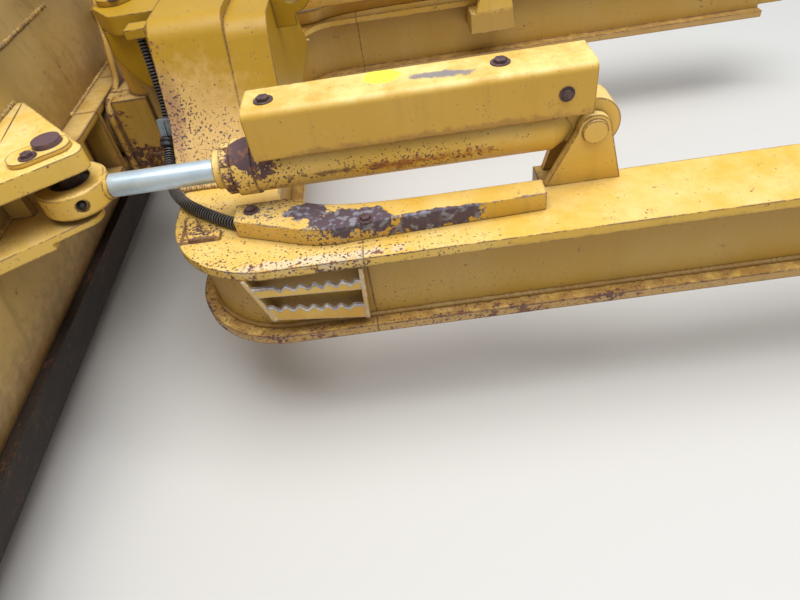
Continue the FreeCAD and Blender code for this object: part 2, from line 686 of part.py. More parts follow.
tiltEyeRear = tiltLine - of.tiltEyeWidth / 2
tiltEyeFront = tiltLine + of.tiltEyeWidth / 2
tiltPin = rod("X", of.tiltPinRadius, plateFront, mouldBack - of.hubPlay, (0, of.tiltPivotHeight))
yokeCylinderPin = rod("X", of.tiltPinSize, plateFront, tiltEyeFront + of.hubPlay, (-of.tiltHalf, tiltHeight))
keep(join(yokeHub, yokePlate, tiltPin, yokeCylinderPin), "yoke")

# Blade.
backCentre = (mouldBack + of.backRadius, of.backHeight)


def backRound(radius):
    """The mouldboard's curve as a full round, a little longer than the blade."""
    length = of.bladeHalf + of.endPlateThick * 2
    return rod("Y", radius, -length, length, backCentre)


def onBack(piece):
    """A piece trimmed to sit on the mouldboard's back."""
    return cut(piece, backRound(of.backRadius + of.seat))


def faceAt(radius, height):
    """Where a round about the mouldboard's centre is at a height."""
    rise = asSize(height) - of.backHeight
    return backCentre[0] - (radius * radius - rise * rise).root()


def backAt(height):
    return faceAt(of.backRadius, height)


def curvedPlate(outer, inner, across, low, high):
    """Part of a curved plate between two radii and two heights."""
    return overlap(cut(backRound(outer), backRound(inner)),
                   box((backCentre[0] - outer - through, backCentre[0]), across, (low, high)))


wholeBlade = (-of.bladeHalf, of.bladeHalf)
mouldFace = of.backRadius - of.mouldThick
keep(curvedPlate(of.backRadius, mouldFace, wholeBlade, of.mouldFoot, of.bladeTop), "mouldboard")
beamLow = of.bladeTop - of.beamDrop
beamFront = backAt(of.bladeTop) + of.mouldThick
beamHalf = of.bladeHalf - of.beamShort
topBeam = plate("XZ_Plane", [(mouldBack + of.beamProud, beamLow, 0),
                             (backAt(of.bladeTop) - of.beamProud, of.bladeTop, 0),
                             (beamFront, of.bladeTop, 0), (beamFront, beamLow, 0)], -beamHalf, beamHalf)
keep(onBack(topBeam), "top_beam")
stripHalf = of.bladeHalf - of.stripShort
strip = curvedPlate(of.backRadius + of.stripThick, of.backRadius + of.seat, (-stripHalf, stripHalf),
                    of.stripLow, of.stripHigh)
keep(strip, "bottom_beam")

edgeHigh = of.edgeHeight - of.groundDrop
edgeTop = faceAt(mouldFace, edgeHigh) + of.seat
edgeLean = (faceAt(mouldFace, edgeHigh) - faceAt(mouldFace, of.mouldFoot)) / (edgeHigh - of.mouldFoot)
edgeFoot = edgeTop - edgeLean * of.edgeHeight


def edgeBlank(across):
    """A length of cutting edge, bolted to the mouldboard's face, with its lower corner bevelled."""
    profile = [(edgeFoot, -of.groundDrop, 0), (edgeFoot + of.edgeThick, of.edgeBevel - of.groundDrop, 0),
               (edgeTop + of.edgeThick, edgeHigh, 0), (edgeTop, edgeHigh, 0)]
    return plate("XZ_Plane", profile, *across)


endBitFrom = of.bladeHalf - of.endBitWidth
keep(edgeBlank((-endBitFrom, endBitFrom)), "cutting_edge")
keepPair(edgeBlank((endBitFrom, of.bladeHalf + of.endPlateThick)), "end_bit")
endPlate = curvedPlate(of.backRadius + of.endPlateBack, of.backRadius - of.endPlateFront,
                       (of.bladeHalf + of.seat, of.bladeHalf + of.endPlateThick),
                       of.endPlateFoot, of.bladeTop)
keepPair(endPlate, "end_plate")

# Clevises for the rods' eyes.
eyeReach = kingReach + of.eyeAhead
pinAt = (eyeReach, angleHalf)
eyeTop = of.axisHeight + of.eyeThick / 2
eyeFloor = of.axisHeight - of.eyeThick / 2
upperLow = eyeTop + of.clevisGapTop
upperHigh = upperLow + of.clevisThick
lowerHigh = eyeFloor - of.clevisGapLow
bladeSide = mouldBack + of.clevisThick
cornersAt = mouldBack - of.clevisSquare
noseAt = angleHalf + of.clevisLean
upperInner = angleHalf - of.clevisInner
upperOuter = angleHalf + of.clevisOuter
upperPlate = plate("XY_Plane", [(eyeReach - of.clevisApex, noseAt, of.clevisRound),
                                (cornersAt, upperInner, of.clevisSquare), (bladeSide, upperInner, 0),
                                (bladeSide, upperOuter, 0), (cornersAt, upperOuter, of.clevisSquare)],
                   upperLow, upperHigh)


def lowerPlate(thick):
    return plate("XY_Plane", [(eyeReach - of.noseApex, noseAt, of.noseRound),
                              (bladeSide, angleHalf - of.lowSpread, 0),
                              (bladeSide, angleHalf + of.lowSpread, 0)], lowerHigh - thick, lowerHigh)


thickPart = overlap(lowerPlate(of.clevisLowThick),
                    box((eyeReach + of.clevisNoseReach, bladeSide + through),
                        (angleHalf - of.lowSpread * 2, angleHalf + of.lowSpread * 2),
                        (lowerHigh - of.clevisLowThick - through, lowerHigh + through)))
clevisWeb = box((eyeReach + of.eyeRadius + of.clevisWebGap, bladeSide),
                (angleHalf - of.clevisWebThick / 2, angleHalf + of.clevisWebThick / 2), (lowerHigh, upperLow))
keepPair(onBack(join(upperPlate, lowerPlate(of.clevisNoseThick), thickPart, clevisWeb)), "clevis")

# The pin's head with its retaining plate, turned towards the blade's end.
flagTurn = FreeCAD.Rotation(FreeCAD.Vector(0, 0, 1), 32)
flagCorners = [(-of.flagBack, -of.flagInner), (of.flagAhead, -of.flagInner), (of.flagAhead, of.flagOuter),
               (-of.flagBack, of.flagOuter)]
flag = plate("XY_Plane", [(along, across, of.flagRound) for along, across in flagCorners], 0, of.flagThick)
place(flag, eyeReach, angleHalf, upperHigh, flagTurn)
keepPair(join(rod("Z", of.pinHeadRadius, upperHigh, upperHigh + of.flagThick * 2, pinAt), flag), "pin_head")

# Backing boxes between the tilt hub and the clevises.
boxRear = plateFront + of.hubPlay
boxEnd = angleHalf - of.boxShort
boxOuter = boxEnd - of.boxBend
backingBox = plate("XY_Plane", [(boxRear, of.boxInner, 0), (boxRear, boxOuter, of.boxRound),
                                (mouldBack - of.clevisSquare, boxEnd, 0), (bladeSide, boxEnd, 0),
                                (bladeSide, of.boxInner, 0)], of.boxLow, of.boxHigh)
boxPocket = box((boxRear - through, bladeSide + through), (of.boxInner - through, boxOuter - of.boxWall),
                (of.boxLow + of.boxWall, of.boxHigh - of.boxWall))
keepPair(cut(onBack(backingBox), boxPocket), "backing_box")

# Tilt hub on the blade's back, tilt cylinder's bracket and ribs.
hubBox = cut(box((boxRear, bladeSide), (-of.boxInner, of.boxInner), (of.boxLow, of.boxHigh)),
             box((boxRear - through, bladeSide + through),
                 (of.boxWall - of.boxInner, of.boxInner - of.boxWall),
                 (of.boxLow + of.boxWall, of.boxHigh - of.boxWall)))
tiltHub = cut(join(rod("X", of.hubRadius, boxRear, bladeSide, (0, of.tiltPivotHeight)), hubBox),
              rod("X", of.tiltPinRadius + of.pinPlay, boxRear - through, mouldBack - through / 2,
                  (0, of.tiltPivotHeight)))
keep(onBack(tiltHub), "tilt_hub")

bracketRear = boxRear
bracketFrom = of.tiltHalf - of.tiltEyeRadius - of.hubPlay
bracketTo = of.tiltHalf + of.tiltEyeRadius * 2
bracketLow = tiltHeight - of.tiltEyeRadius - of.hubPlay
bracketHigh = tiltHeight + of.tiltEyeRadius + of.hubPlay
bracketFront = backAt(bracketHigh) + of.mouldThick
tiltBracket = join(
    box((bracketRear, bracketRear + of.ribThick), (bracketFrom, bracketTo), (bracketLow, bracketHigh)),
    box((bracketRear, bracketFront), (bracketTo - of.ribThick, bracketTo), (bracketLow, bracketHigh)),
    rod("X", of.tiltPinSize, bracketRear, bracketFront, (of.tiltHalf, tiltHeight)))
keep(cut(onBack(tiltBracket), topBeam), "tilt_bracket")


def rib(middle):
    back = mouldBack - of.ribDepth
    front = backAt(beamLow) + of.mouldThick
    outline = [(back, of.ribFoot, 0), (back, of.ribHigh, 0), (mouldBack + of.beamProud, beamLow, 0),
               (front, beamLow, 0), (front, of.stripHigh, 0), (mouldBack, of.stripHigh, 0)]
    return onBack(plate("XZ_Plane", outline, middle - of.ribThick / 2, middle + of.ribThick / 2))


keepPair(rib(angleHalf + of.clevisOuter + of.ribGap), "rib")
keepPair(rib(of.bladeHalf - of.outerRibAt), "outer_rib")

# Angle cylinders.
middleLine = (angleHalf, of.axisHeight)
barrelFrom = of.barrelPin + of.baseEyeRadius
neckEnd = barrelFrom + of.cheekThick
eyeSide = of.baseEyeWidth / 2
barrelNeck = taper("X", of.cheekRadius, of.barrelRadius, barrelFrom - of.cheekThick, neckEnd, middleLine)
barrel = cut(join(barrelNeck, rod("X", of.barrelRadius, neckEnd, of.barrelEnd, middleLine),
                  rod("X", of.collarRadius, of.barrelEnd - of.collarLength, of.barrelEnd, middleLine),
                  rod("Y", of.baseEyeRadius, angleHalf - eyeSide, angleHalf + eyeSide, baseAt)),
             rod("X", of.barrelBore, neckEnd, of.barrelEnd + through, middleLine),
             rod("Y", of.basePinRadius + of.pinPlay, angleHalf - of.baseEyeWidth,
                 angleHalf + of.baseEyeWidth, baseAt))
keepPair(barrel, "barrel")
glandEnd = of.barrelEnd + of.glandLength
glandInside = of.barrelEnd - of.glandRadius
sealEnd = glandEnd + of.sealLength
gland = cut(join(rod("X", of.glandRadius, of.barrelEnd, glandEnd, middleLine),
                 rod("X", of.sealRadius, glandEnd, sealEnd, middleLine),
                 rod("X", of.barrelBore, glandInside, of.barrelEnd, middleLine)),
            rod("X", of.rodRadius + of.pinPlay, glandInside - through, sealEnd + through, middleLine))
keepPair(gland, "gland")
rodEnd = eyeReach - of.eyeRadius + of.eyeSink
piston = rod("X", of.barrelBore - of.pinPlay * 2, of.pistonFrom, of.pistonFrom + of.pistonLength, middleLine)
keepPair(join(rod("X", of.rodRadius, of.pistonFrom, rodEnd, middleLine), piston), "rod")


def roundedDisc(radius, low, high, rim):
    """A disc on the clevis pin with chamfered rims."""
    return join(taper("Z", radius - rim, radius, low, low + rim, pinAt),
                rod("Z", radius, low + rim, high - rim, pinAt),
                taper("Z", radius, radius - rim, high - rim, high, pinAt))


recessTurn = math.radians(119)
recessWay = FreeCAD.Vector(math.cos(recessTurn), math.sin(recessTurn), 0)
recess = document.addObject("Part::Cylinder", "Recess")
bind(recess, Radius=of.recessRadius, Height=of.recessDepth * 3)
recessReach = of.eyeRadius - of.recessDepth
place(recess, eyeReach + recessReach * recessWay.x, angleHalf + recessReach * recessWay.y, of.axisHeight,
      FreeCAD.Rotation(FreeCAD.Vector(0, 0, 1), recessWay))
neck = taper("X", of.rodRadius + of.eyeSink / 2, of.neckRadius - of.recessDepth,
             rodEnd - of.eyeSink * 2, rodEnd + of.eyeSink, middleLine)
rodEye = cut(join(roundedDisc(of.eyeRadius, eyeFloor, eyeTop, of.eyeRound), neck),
             rod("Z", of.eyeBore, eyeFloor - through, eyeTop + through, pinAt),
             rod("X", of.rodRadius, rodEnd - of.eyeRadius, rodEnd, middleLine), recess)
keepPair(rodEye, "rod_eye")
bearing = cut(rod("Z", of.eyeBore, eyeFloor + of.bearingInset, eyeTop - of.bearingInset, pinAt),
              rod("Z", of.clevisPin, eyeFloor, eyeTop, pinAt))
keepPair(bearing, "bearing")
pinSpan = (eyeFloor - of.clevisGapLow / 3, eyeTop + of.clevisGapTop / 2)
keepPair(rod("Z", of.clevisPin, *pinSpan, pinAt), "clevis_pin")

# Guard: folded plate over the barrel, on two posts.
guardOuter = angleHalf + of.guardSide
guardHigh = of.axisHeight + of.guardTop
guardEdge = of.axisHeight + of.guardLow
guardOutline = [(angleHalf - of.guardInner, guardHigh, 0), (guardOuter, guardHigh, of.guardBend),
                (guardOuter, guardEdge, 0), (guardOuter - of.guardThick, guardEdge, 0),
                (guardOuter - of.guardThick, guardHigh - of.guardThick, of.guardBend - of.guardThick),
                (angleHalf - of.guardInner, guardHigh - of.guardThick, 0)]
guardRear = of.barrelPin + of.guardAhead
guardFront = of.barrelEnd - of.guardBehind
keepPair(plate("YZ_Plane", guardOutline, guardRear, guardFront), "guard")


def guardPost(middle):
    rear, front = middle - of.postHalf, middle + of.postHalf
    post = box((rear, front), (angleHalf - of.postWide, angleHalf + of.postWide),
               (of.axisHeight, guardHigh - of.guardThick))
    return cut(post, rod("X", of.barrelRadius + of.seat, rear - through, front + through, middleLine))


keepPair(join(guardPost(guardRear + of.rearPostAt), guardPost(guardFront - of.frontPostAt)), "guard_posts")

# Tilt cylinder.
tiltAxisAt = (tiltLine, tiltHeight)
tiltInner = -of.tiltHalf + of.tiltEyeRadius - of.bindRim / 2
tiltBarrel = cut(join(rod("Y", of.tiltBarrelRadius, tiltInner, of.tiltBarrelEnd, tiltAxisAt),
                      rod("X", of.tiltEyeRadius, tiltEyeRear, tiltEyeFront, (-of.tiltHalf, tiltHeight))),
                 rod("X", of.tiltPinSize + of.pinPlay, tiltEyeRear - through, tiltEyeFront + through,
                     (-of.tiltHalf, tiltHeight)),
                 rod("Y", of.tiltRodRadius + of.pinPlay, tiltInner + of.tiltEyeRadius,
                     of.tiltBarrelEnd + through, tiltAxisAt))
keep(tiltBarrel, "tilt_barrel")
tiltRod = cut(join(rod("Y", of.tiltRodRadius, tiltInner + of.tiltEyeRadius * 3.5, -tiltInner, tiltAxisAt),
                   rod("X", of.tiltEyeRadius, tiltEyeRear, tiltEyeFront, (of.tiltHalf, tiltHeight))),
              rod("X", of.tiltPinSize + of.tiltEyeRadius / 4, tiltEyeRear - through, tiltEyeFront + through,
                  (of.tiltHalf, tiltHeight)))
keep(tiltRod, "tilt_rod")

document.recompute()
for thing in document.Objects:
    if "Invalid" in thing.State or "Error" in thing.State:
        raise RuntimeError(f"{thing.Label} ({thing.Name}) did not compute: {thing.State}")
for thing in subParts:
    if thing.Shape.isNull() or not thing.Shape.isValid():
        raise RuntimeError(f"{thing.Label} has no valid shape")

os.makedirs("parts", exist_ok=True)
for thing in subParts:
    thing.Shape.exportStep(f"parts/{thing.Label}.step")
    print(thing.Label, len(thing.Shape.Solids), round(thing.Shape.Volume / 1e6, 2))
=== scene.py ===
import bpy
import math
import bmesh
from mathutils import Matrix, Vector


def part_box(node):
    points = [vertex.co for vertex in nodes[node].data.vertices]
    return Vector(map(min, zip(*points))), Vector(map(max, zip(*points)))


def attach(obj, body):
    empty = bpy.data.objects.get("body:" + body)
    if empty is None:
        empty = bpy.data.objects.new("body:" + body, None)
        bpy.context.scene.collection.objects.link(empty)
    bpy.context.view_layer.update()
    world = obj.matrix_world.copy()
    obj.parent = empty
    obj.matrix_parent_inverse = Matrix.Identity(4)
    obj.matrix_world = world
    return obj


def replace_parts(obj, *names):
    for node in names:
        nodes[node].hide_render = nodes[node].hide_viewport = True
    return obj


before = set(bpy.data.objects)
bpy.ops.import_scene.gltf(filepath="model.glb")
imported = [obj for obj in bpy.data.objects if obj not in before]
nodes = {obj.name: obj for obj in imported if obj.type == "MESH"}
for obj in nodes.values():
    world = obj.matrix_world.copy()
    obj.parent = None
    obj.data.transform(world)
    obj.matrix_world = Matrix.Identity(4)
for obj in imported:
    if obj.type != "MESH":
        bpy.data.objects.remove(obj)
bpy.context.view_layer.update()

scene = bpy.context.scene
scene.view_settings.view_transform = "Standard"

# The camera stands over the left track and looks down at the frame's left front corner.
camera = {
    "place": (1.450, 1.660, 0.873),
    "right": (-0.9903, 0.0641, -0.1232),
    "up": (-0.1327, -0.6979, 0.7038),
    "back": (-0.0408, 0.7133, 0.6996),
    "lens": 27.05,
    "sensor": 36.0,
    "clipStart": 0.02,
}
cameraData = bpy.data.cameras.new("photoCamera")
cameraData.lens = camera["lens"]
cameraData.sensor_width = camera["sensor"]
cameraData.clip_start = camera["clipStart"]
cameraObject = bpy.data.objects.new("photoCamera", cameraData)
scene.collection.objects.link(cameraObject)
axes = Matrix((camera["right"], camera["up"], camera["back"])).transposed()
cameraObject.matrix_world = Matrix.Translation(camera["place"]) @ axes.to_quaternion().to_matrix().to_4x4()
scene.camera = cameraObject


def paintColour(red, green, blue):  # a colour as the photograph shows it, 0 to 255
    def linear(value):  # the screen's curve, undone
        value /= 255
        return value / 12.92 if value <= 0.04045 else ((value + 0.055) / 1.055) ** 2.4
    return (linear(red), linear(green), linear(blue), 1.0)


# Every noise as its scale, detail and roughness.
grain = {
    "cloud": (3.5, 4, 0.6),
    "dust": (9, 5, 0.7),
    "streak": (1.0, 4, 0.7),
    "large": (14, 6, 0.72),
    "fine": (62, 3, 0.6),
    "speck": (165, 3, 0.62),
    "peel": (160, 3, 0.6),
    "ragged": (38, 4, 0.65),
    "ridge": (40, 4, 0.6),
}

# The two levels between which a pattern fades in.
levels = {
    "edge": (0.998, 0.92),
    "corner": (0.75, 0.2),
    "faded": (0.35, 0.68),
    "upward": (0.1, 0.85),
    "forward": (0.2, 0.5),
    "dust": (0.3, 0.75),
    "streak": (0.52, 0.75),
    "chip": (0.62, 0.632),
    "rust": (0.575, 0.63),
    "speckled": (0.42, 0.62),
    "raw": (0.5, 0.66),
    "scoured": (0.62, 0.46),
    "scratch": (0.3, 0.75),
    "stainedMetal": (0.38, 0.62),
    "pits": (0.55, 0.72),
    "dustyRidge": (0.35, 0.7),
    "ridge": (0.55, 1.0),
}


raySamples = 4  # of the bevel and the occlusion in the materials
raggedGain = 4


# Building blocks of the materials. Every pattern lies on object coordinates, in metres.
def newMaterial(name):
    made = bpy.data.materials.new(name)
    made.use_nodes = True
    tree = made.node_tree
    tree.nodes.clear()
    output = tree.nodes.new("ShaderNodeOutputMaterial")
    shader = tree.nodes.new("ShaderNodeBsdfPrincipled")
    tree.links.new(shader.outputs["BSDF"], output.inputs["Surface"])
    place = tree.nodes.new("ShaderNodeTexCoord").outputs["Object"]
    return made, tree, shader, place


def feed(tree, socket, value):
    if isinstance(value, bpy.types.NodeSocket):
        tree.links.new(value, socket)
    else:
        socket.default_value = value


def sums(tree, operation, first, second=0.0, clamp=False):
    node = tree.nodes.new("ShaderNodeMath")
    node.operation = operation
    node.use_clamp = clamp
    feed(tree, node.inputs[0], first)
    feed(tree, node.inputs[1], second)
    return node.outputs[0]


def times(tree, first, second):
    return sums(tree, "MULTIPLY", first, second)


def plus(tree, first, second, clamp=False):
    return sums(tree, "ADD", first, second, clamp)


def blendColour(tree, amount, first, second):
    node = tree.nodes.new("ShaderNodeMix")
    node.data_type = "RGBA"
    feed(tree, node.inputs[0], amount)
    feed(tree, node.inputs[6], first)
    feed(tree, node.inputs[7], second)
    return node.outputs[2]


def noise(tree, place, scale, detail, rough):
    node = tree.nodes.new("ShaderNodeTexNoise")
    feed(tree, node.inputs["Vector"], place)
    node.inputs["Scale"].default_value = scale
    node.inputs["Detail"].default_value = detail
    node.inputs["Roughness"].default_value = rough
    return node.outputs["Fac"]


def grainy(tree, place, pattern):
    return noise(tree, place, *grain[pattern])


def between(tree, value, low, high):  # 0 below low, 1 above high, smooth in between
    node = tree.nodes.new("ShaderNodeMapRange")
    node.interpolation_type = "SMOOTHSTEP"
    feed(tree, node.inputs[0], value)
    feed(tree, node.inputs[1], low)
    feed(tree, node.inputs[2], high)
    return node.outputs[0]


def fades(tree, value, pattern):
    return between(tree, value, *levels[pattern])


def stretched(tree, place, scale):
    node = tree.nodes.new("ShaderNodeMapping")
    feed(tree, node.inputs["Vector"], place)
    node.inputs["Scale"].default_value = scale
    return node.outputs[0]


def spot(tree, place, centre, reach, ragged, soft, turn=0.0):  # 1 at a place, ragged at its reach
    node = tree.nodes.new("ShaderNodeMapping")
    feed(tree, node.inputs["Vector"], place)
    node.vector_type = "TEXTURE"
    node.inputs["Location"].default_value = centre
    node.inputs["Rotation"].default_value = (0, 0, turn)
    node.inputs["Scale"].default_value = reach
    length = tree.nodes.new("ShaderNodeVectorMath")
    length.operation = "LENGTH"
    tree.links.new(node.outputs[0], length.inputs[0])
    edge = times(tree, sums(tree, "SUBTRACT", grainy(tree, place, "ragged"), 0.5), ragged * raggedGain)
    return between(tree, plus(tree, length.outputs["Value"], edge), 1 + soft, 1 - soft)


def parts(tree, vector):  # the X, Y and Z of a vector
    split = tree.nodes.new("ShaderNodeSeparateXYZ")
    tree.links.new(vector, split.inputs[0])
    return split.outputs


def facing(tree):  # the X, Y and Z of the way a face looks
    return parts(tree, tree.nodes.new("ShaderNodeNewGeometry").outputs["Normal"])


def edges(tree, radius):  # 1 along the sharp edges of a piece
    bevel = tree.nodes.new("ShaderNodeBevel")
    bevel.samples = raySamples
    bevel.inputs["Radius"].default_value = radius
    geometry = tree.nodes.new("ShaderNodeNewGeometry")
    dot = tree.nodes.new("ShaderNodeVectorMath")
    dot.operation = "DOT_PRODUCT"
    tree.links.new(bevel.outputs[0], dot.inputs[0])
    tree.links.new(geometry.outputs["Normal"], dot.inputs[1])
    return fades(tree, dot.outputs["Value"], "edge"), bevel.outputs[0]


def corners(tree, reach):  # 1 deep in corners, for grime and painted shade
    shade = tree.nodes.new("ShaderNodeAmbientOcclusion")
    shade.samples = raySamples
    shade.inputs["Distance"].default_value = reach
    return fades(tree, shade.outputs["AO"], "corner")


def bumped(tree, shader, height, strength, depth, normal=None):
    bump = tree.nodes.new("ShaderNodeBump")
    bump.inputs["Strength"].default_value = strength
    bump.inputs["Distance"].default_value = depth
    tree.links.new(height, bump.inputs["Height"])
    if normal is not None:
        tree.links.new(normal, bump.inputs["Normal"])
    tree.links.new(bump.outputs[0], shader.inputs["Normal"])


# How chips, the rust round them and specks come out of the noises and the wear.
wornMix = {
    "large": 0.46,
    "fine": 0.34,
    "speck": 0.20,
    "wear": 0.16,
    "rust": 0.4,
    "speckFrom": 0.66,
    "speckSoft": 0.03,
    "freckleSpecks": 0.10,
    "wearGate": 0.2,
    "freckleGate": 0.4,
    "scouredEdge": 0.5,
    "chipRough": 0.3,
    "dirtRough": 0.2,
    "peel": 0.3,
    "patchEdge": (0.4, 0.4),
    "freckleEdge": (0.3, 0.6),
}


def wornPaint(name, look):
    made, tree, shader, place = newMaterial(name)
    faded = fades(tree, grainy(tree, place, "cloud"), "faded")
    colour = blendColour(tree, faded, look["paint"], look["faded"])
    upward = fades(tree, facing(tree)["Z"], "upward")
    dust = times(tree, fades(tree, grainy(tree, place, "dust"), "dust"), look["dust"])
    colour = blendColour(tree, times(tree, upward, dust), colour, look["dustColour"])
    rim, rounded = edges(tree, look["edgeRadius"])
    # Grime and painted shade: darker in corners, by occlusion; darker along streaks.
    dirt = times(tree, corners(tree, look["grimeReach"]), look["grime"])
    streak = fades(tree, grainy(tree, stretched(tree, place, look["streakScale"]), "streak"), "streak")
    dirt = plus(tree, dirt, times(tree, streak, look["streaks"]), True)
    colour = blendColour(tree, dirt, colour, look["grimeColour"])

    bare, freckled = 0.0, 0.0
    for centre, reach, strength in look["patches"]:
        patch = spot(tree, place, centre, reach, *wornMix["patchEdge"])
        bare = plus(tree, bare, times(tree, patch, strength))
    for centre, reach, strength in look["freckles"]:
        freckles = spot(tree, place, centre, reach, *wornMix["freckleEdge"])
        freckled = plus(tree, freckled, times(tree, freckles, strength))
    wear = plus(tree, times(tree, rim, look["edgeWear"]), bare)
    large, fine, speck = [grainy(tree, place, pattern) for pattern in ("large", "fine", "speck")]
    field = times(tree, large, wornMix["large"])
    for value, share in ((fine, "fine"), (speck, "speck"), (wear, "wear")):
        field = plus(tree, field, times(tree, value, wornMix[share]))
    field = plus(tree, field, look["chips"])
    chip = fades(tree, field, "chip")

    start = sums(tree, "SUBTRACT", wornMix["speckFrom"] - look["specks"],
                 times(tree, freckled, wornMix["freckleSpecks"]))
    gate = plus(tree, times(tree, wear, wornMix["wearGate"]), times(tree, freckled, wornMix["freckleGate"]))
    dots = times(tree, between(tree, speck, start, plus(tree, start, wornMix["speckSoft"])),
                 fades(tree, plus(tree, large, gate), "speckled"))
    stain = times(tree, fades(tree, field, "rust"), wornMix["rust"])
    colour = blendColour(tree, stain, colour, look["rust"])
    for centre, reach, tint, strength, ragged, soft, turn in look["stains"]:
        here = times(tree, spot(tree, place, centre, reach, ragged, soft, turn), strength)
        colour = blendColour(tree, here, colour, tint)
    metal = blendColour(tree, fades(tree, fine, "raw"), look["bare"], look["raw"])
    colour = blendColour(tree, sums(tree, "MAXIMUM", chip, dots), colour, metal)

    if look["scoured"]:  # ground bright by soil: low down, on faces that look forward
        low = fades(tree, plus(tree, parts(tree, place)["Z"], times(tree, large, wornMix["scouredEdge"])), "scoured")
        ground = times(tree, low, fades(tree, facing(tree)["X"], "forward"))
        scratch = fades(tree, grainy(tree, stretched(tree, place, look["scratchScale"]), "streak"), "scratch")
        steel = blendColour(tree, scratch, look["steel"], look["scratch"])
        colour = blendColour(tree, times(tree, ground, look["scoured"]), colour, steel)
    tree.links.new(colour, shader.inputs["Base Color"])
    rough = plus(tree, look["roughness"], times(tree, chip, wornMix["chipRough"]))
    rough = plus(tree, rough, times(tree, dirt, wornMix["dirtRough"]), True)
    tree.links.new(rough, shader.inputs["Roughness"])
    height = sums(tree, "SUBTRACT", times(tree, grainy(tree, place, "peel"), wornMix["peel"]), chip)
    bumped(tree, shader, height, look["bump"], look["bumpDepth"], rounded)
    shader.inputs["IOR"].default_value = look["ior"]
    return made


paintLook = {
    "paint": paintColour(218, 172, 62),
    "faded": paintColour(226, 186, 96),
    "dustColour": paintColour(240, 218, 158),
    "grimeColour": paintColour(98, 74, 40),
    "rust": paintColour(140, 84, 46),
    "bare": paintColour(86, 62, 66),
    "raw": paintColour(126, 84, 60),
    "steel": paintColour(158, 148, 136),
    "scratch": paintColour(112, 98, 88),
    "scoured": 0.0,
    "scratchScale": (90, 90, 4),
    "dust": 0.5,
    # Strength and reach of the corner darkening: grime and painted shade.
    "grime": 0.65,
    "grimeReach": 0.09,
    "streaks": 0.12,
    "streakScale": (22, 22, 2.2),
    "edgeRadius": 0.006,
    "edgeWear": 0.9,
    "chips": 0.0,
    "specks": 0.0,
    "roughness": 0.42,
    "bump": 0.35,
    "bumpDepth": 0.0012,
    "ior": 1.48,
    "patches": [],
    "freckles": [],
    "stains": [],
}


def paintLike(name, **changes):
    return wornPaint(name, {**paintLook, **changes})


def stainAt(centre, reach, tint, strength=0.9, ragged=0.3, soft=0.1, turn=0.0):
    return centre, reach, paintColour(*tint), strength, ragged, soft, turn


def metal(name, look):
    made, tree, shader, place = newMaterial(name)
    cloud = noise(tree, place, look["scale"], *look["cloud"])
    colour = blendColour(tree, fades(tree, cloud, "stainedMetal"), look["colour"], look["stain"])
    pits = fades(tree, noise(tree, place, look["scale"] * look["pitScale"], *look["pitGrain"]), "pits")
    colour = blendColour(tree, times(tree, pits, look["pits"]), colour, look["pitColour"])
    # Grime and painted shade: darker in corners, by occlusion.
    dirt = times(tree, corners(tree, look["grimeReach"]), look["grime"])
    colour = blendColour(tree, dirt, colour, look["pitColour"])
    tree.links.new(colour, shader.inputs["Base Color"])
    shader.inputs["Metallic"].default_value = look["metallic"]
    rough = plus(tree, look["roughness"], times(tree, cloud, look["roughChange"]), True)
    tree.links.new(rough, shader.inputs["Roughness"])
    bumped(tree, shader, plus(tree, cloud, pits), look["bump"], look["bumpDepth"])
    return made


metalLook = {
    "colour": paintColour(110, 78, 58),
    "stain": paintColour(72, 46, 40),
    "pitColour": paintColour(40, 28, 26),
    "scale": 30.0,
    "cloud": (5, 0.65),
    "pits": 0.7,
    "pitScale": 6,
    "pitGrain": (3, 0.6),
    "grime": 0.6,
    "grimeReach": 0.05,
    "metallic": 0.0,
    "roughness": 0.6,
    "roughChange": 0.3,
    "bump": 0.5,
    "bumpDepth": 0.001,
}


def metalLike(name, **changes):
    return metal(name, {**metalLook, **changes})


# Patches are bare metal (on the yoke also painted shadow) and freckles are specks, both given as their centre, reach
# and strength.
# Stains, and bands of painted shade, have a centre and a reach, a colour, a strength, their raggedness and softness,
# and a turn about Z.
framePaint = paintLike("framePaint", chips=0.004, specks=0.01, patches=[
    ((1.945, 0.60, 0.112), (0.03, 0.05, 0.02), 0.5), ((1.70, 0.735, 0.10), (0.30, 0.020, 0.02), 0.5),
    ((1.955, 0.575, -0.10), (0.09, 0.16, 0.02), 0.6), ((1.40, 0.75, -0.10), (0.6, 0.02, 0.02), 0.5)], freckles=[
    ((1.91, 0.585, 0.116), (0.03, 0.03, 0.01), 1.6), ((1.93, 0.60, 0.11), (0.10, 0.16, 0.05), 0.7),
    ((1.70, 0.73, 0.10), (0.34, 0.05, 0.03), 0.8),
    ((1.72, 0.72, -0.10), (0.9, 0.14, 0.03), 0.7), ((1.70, 0.72, -0.02), (0.5, 0.06, 0.04), 0.4)], stains=[
    stainAt((1.2, 0.0, -0.099), (9.0, 9.0, 0.014), (156, 116, 82), 0.6, 0.3, 0.2),
    # Painted shade: a darker band down the arms' webs, under the top plates.
    stainAt((1.2, 0.0, 0.0), (9.0, 9.0, 0.088), (146, 106, 42), 0.55, 0.1, 0.1),
    stainAt((1.66, 0.735, 0.108), (0.17, 0.014, 0.02), (214, 204, 184), 0.6, 0.7, 0.4),
    stainAt((1.915, 0.620, 0.112), (0.05, 0.006, 0.01), (112, 78, 58), 0.9, 0.5, 0.3),
    stainAt((1.955, 0.575, 0.112), (0.006, 0.045, 0.01), (112, 78, 58), 0.9, 0.5, 0.3)])
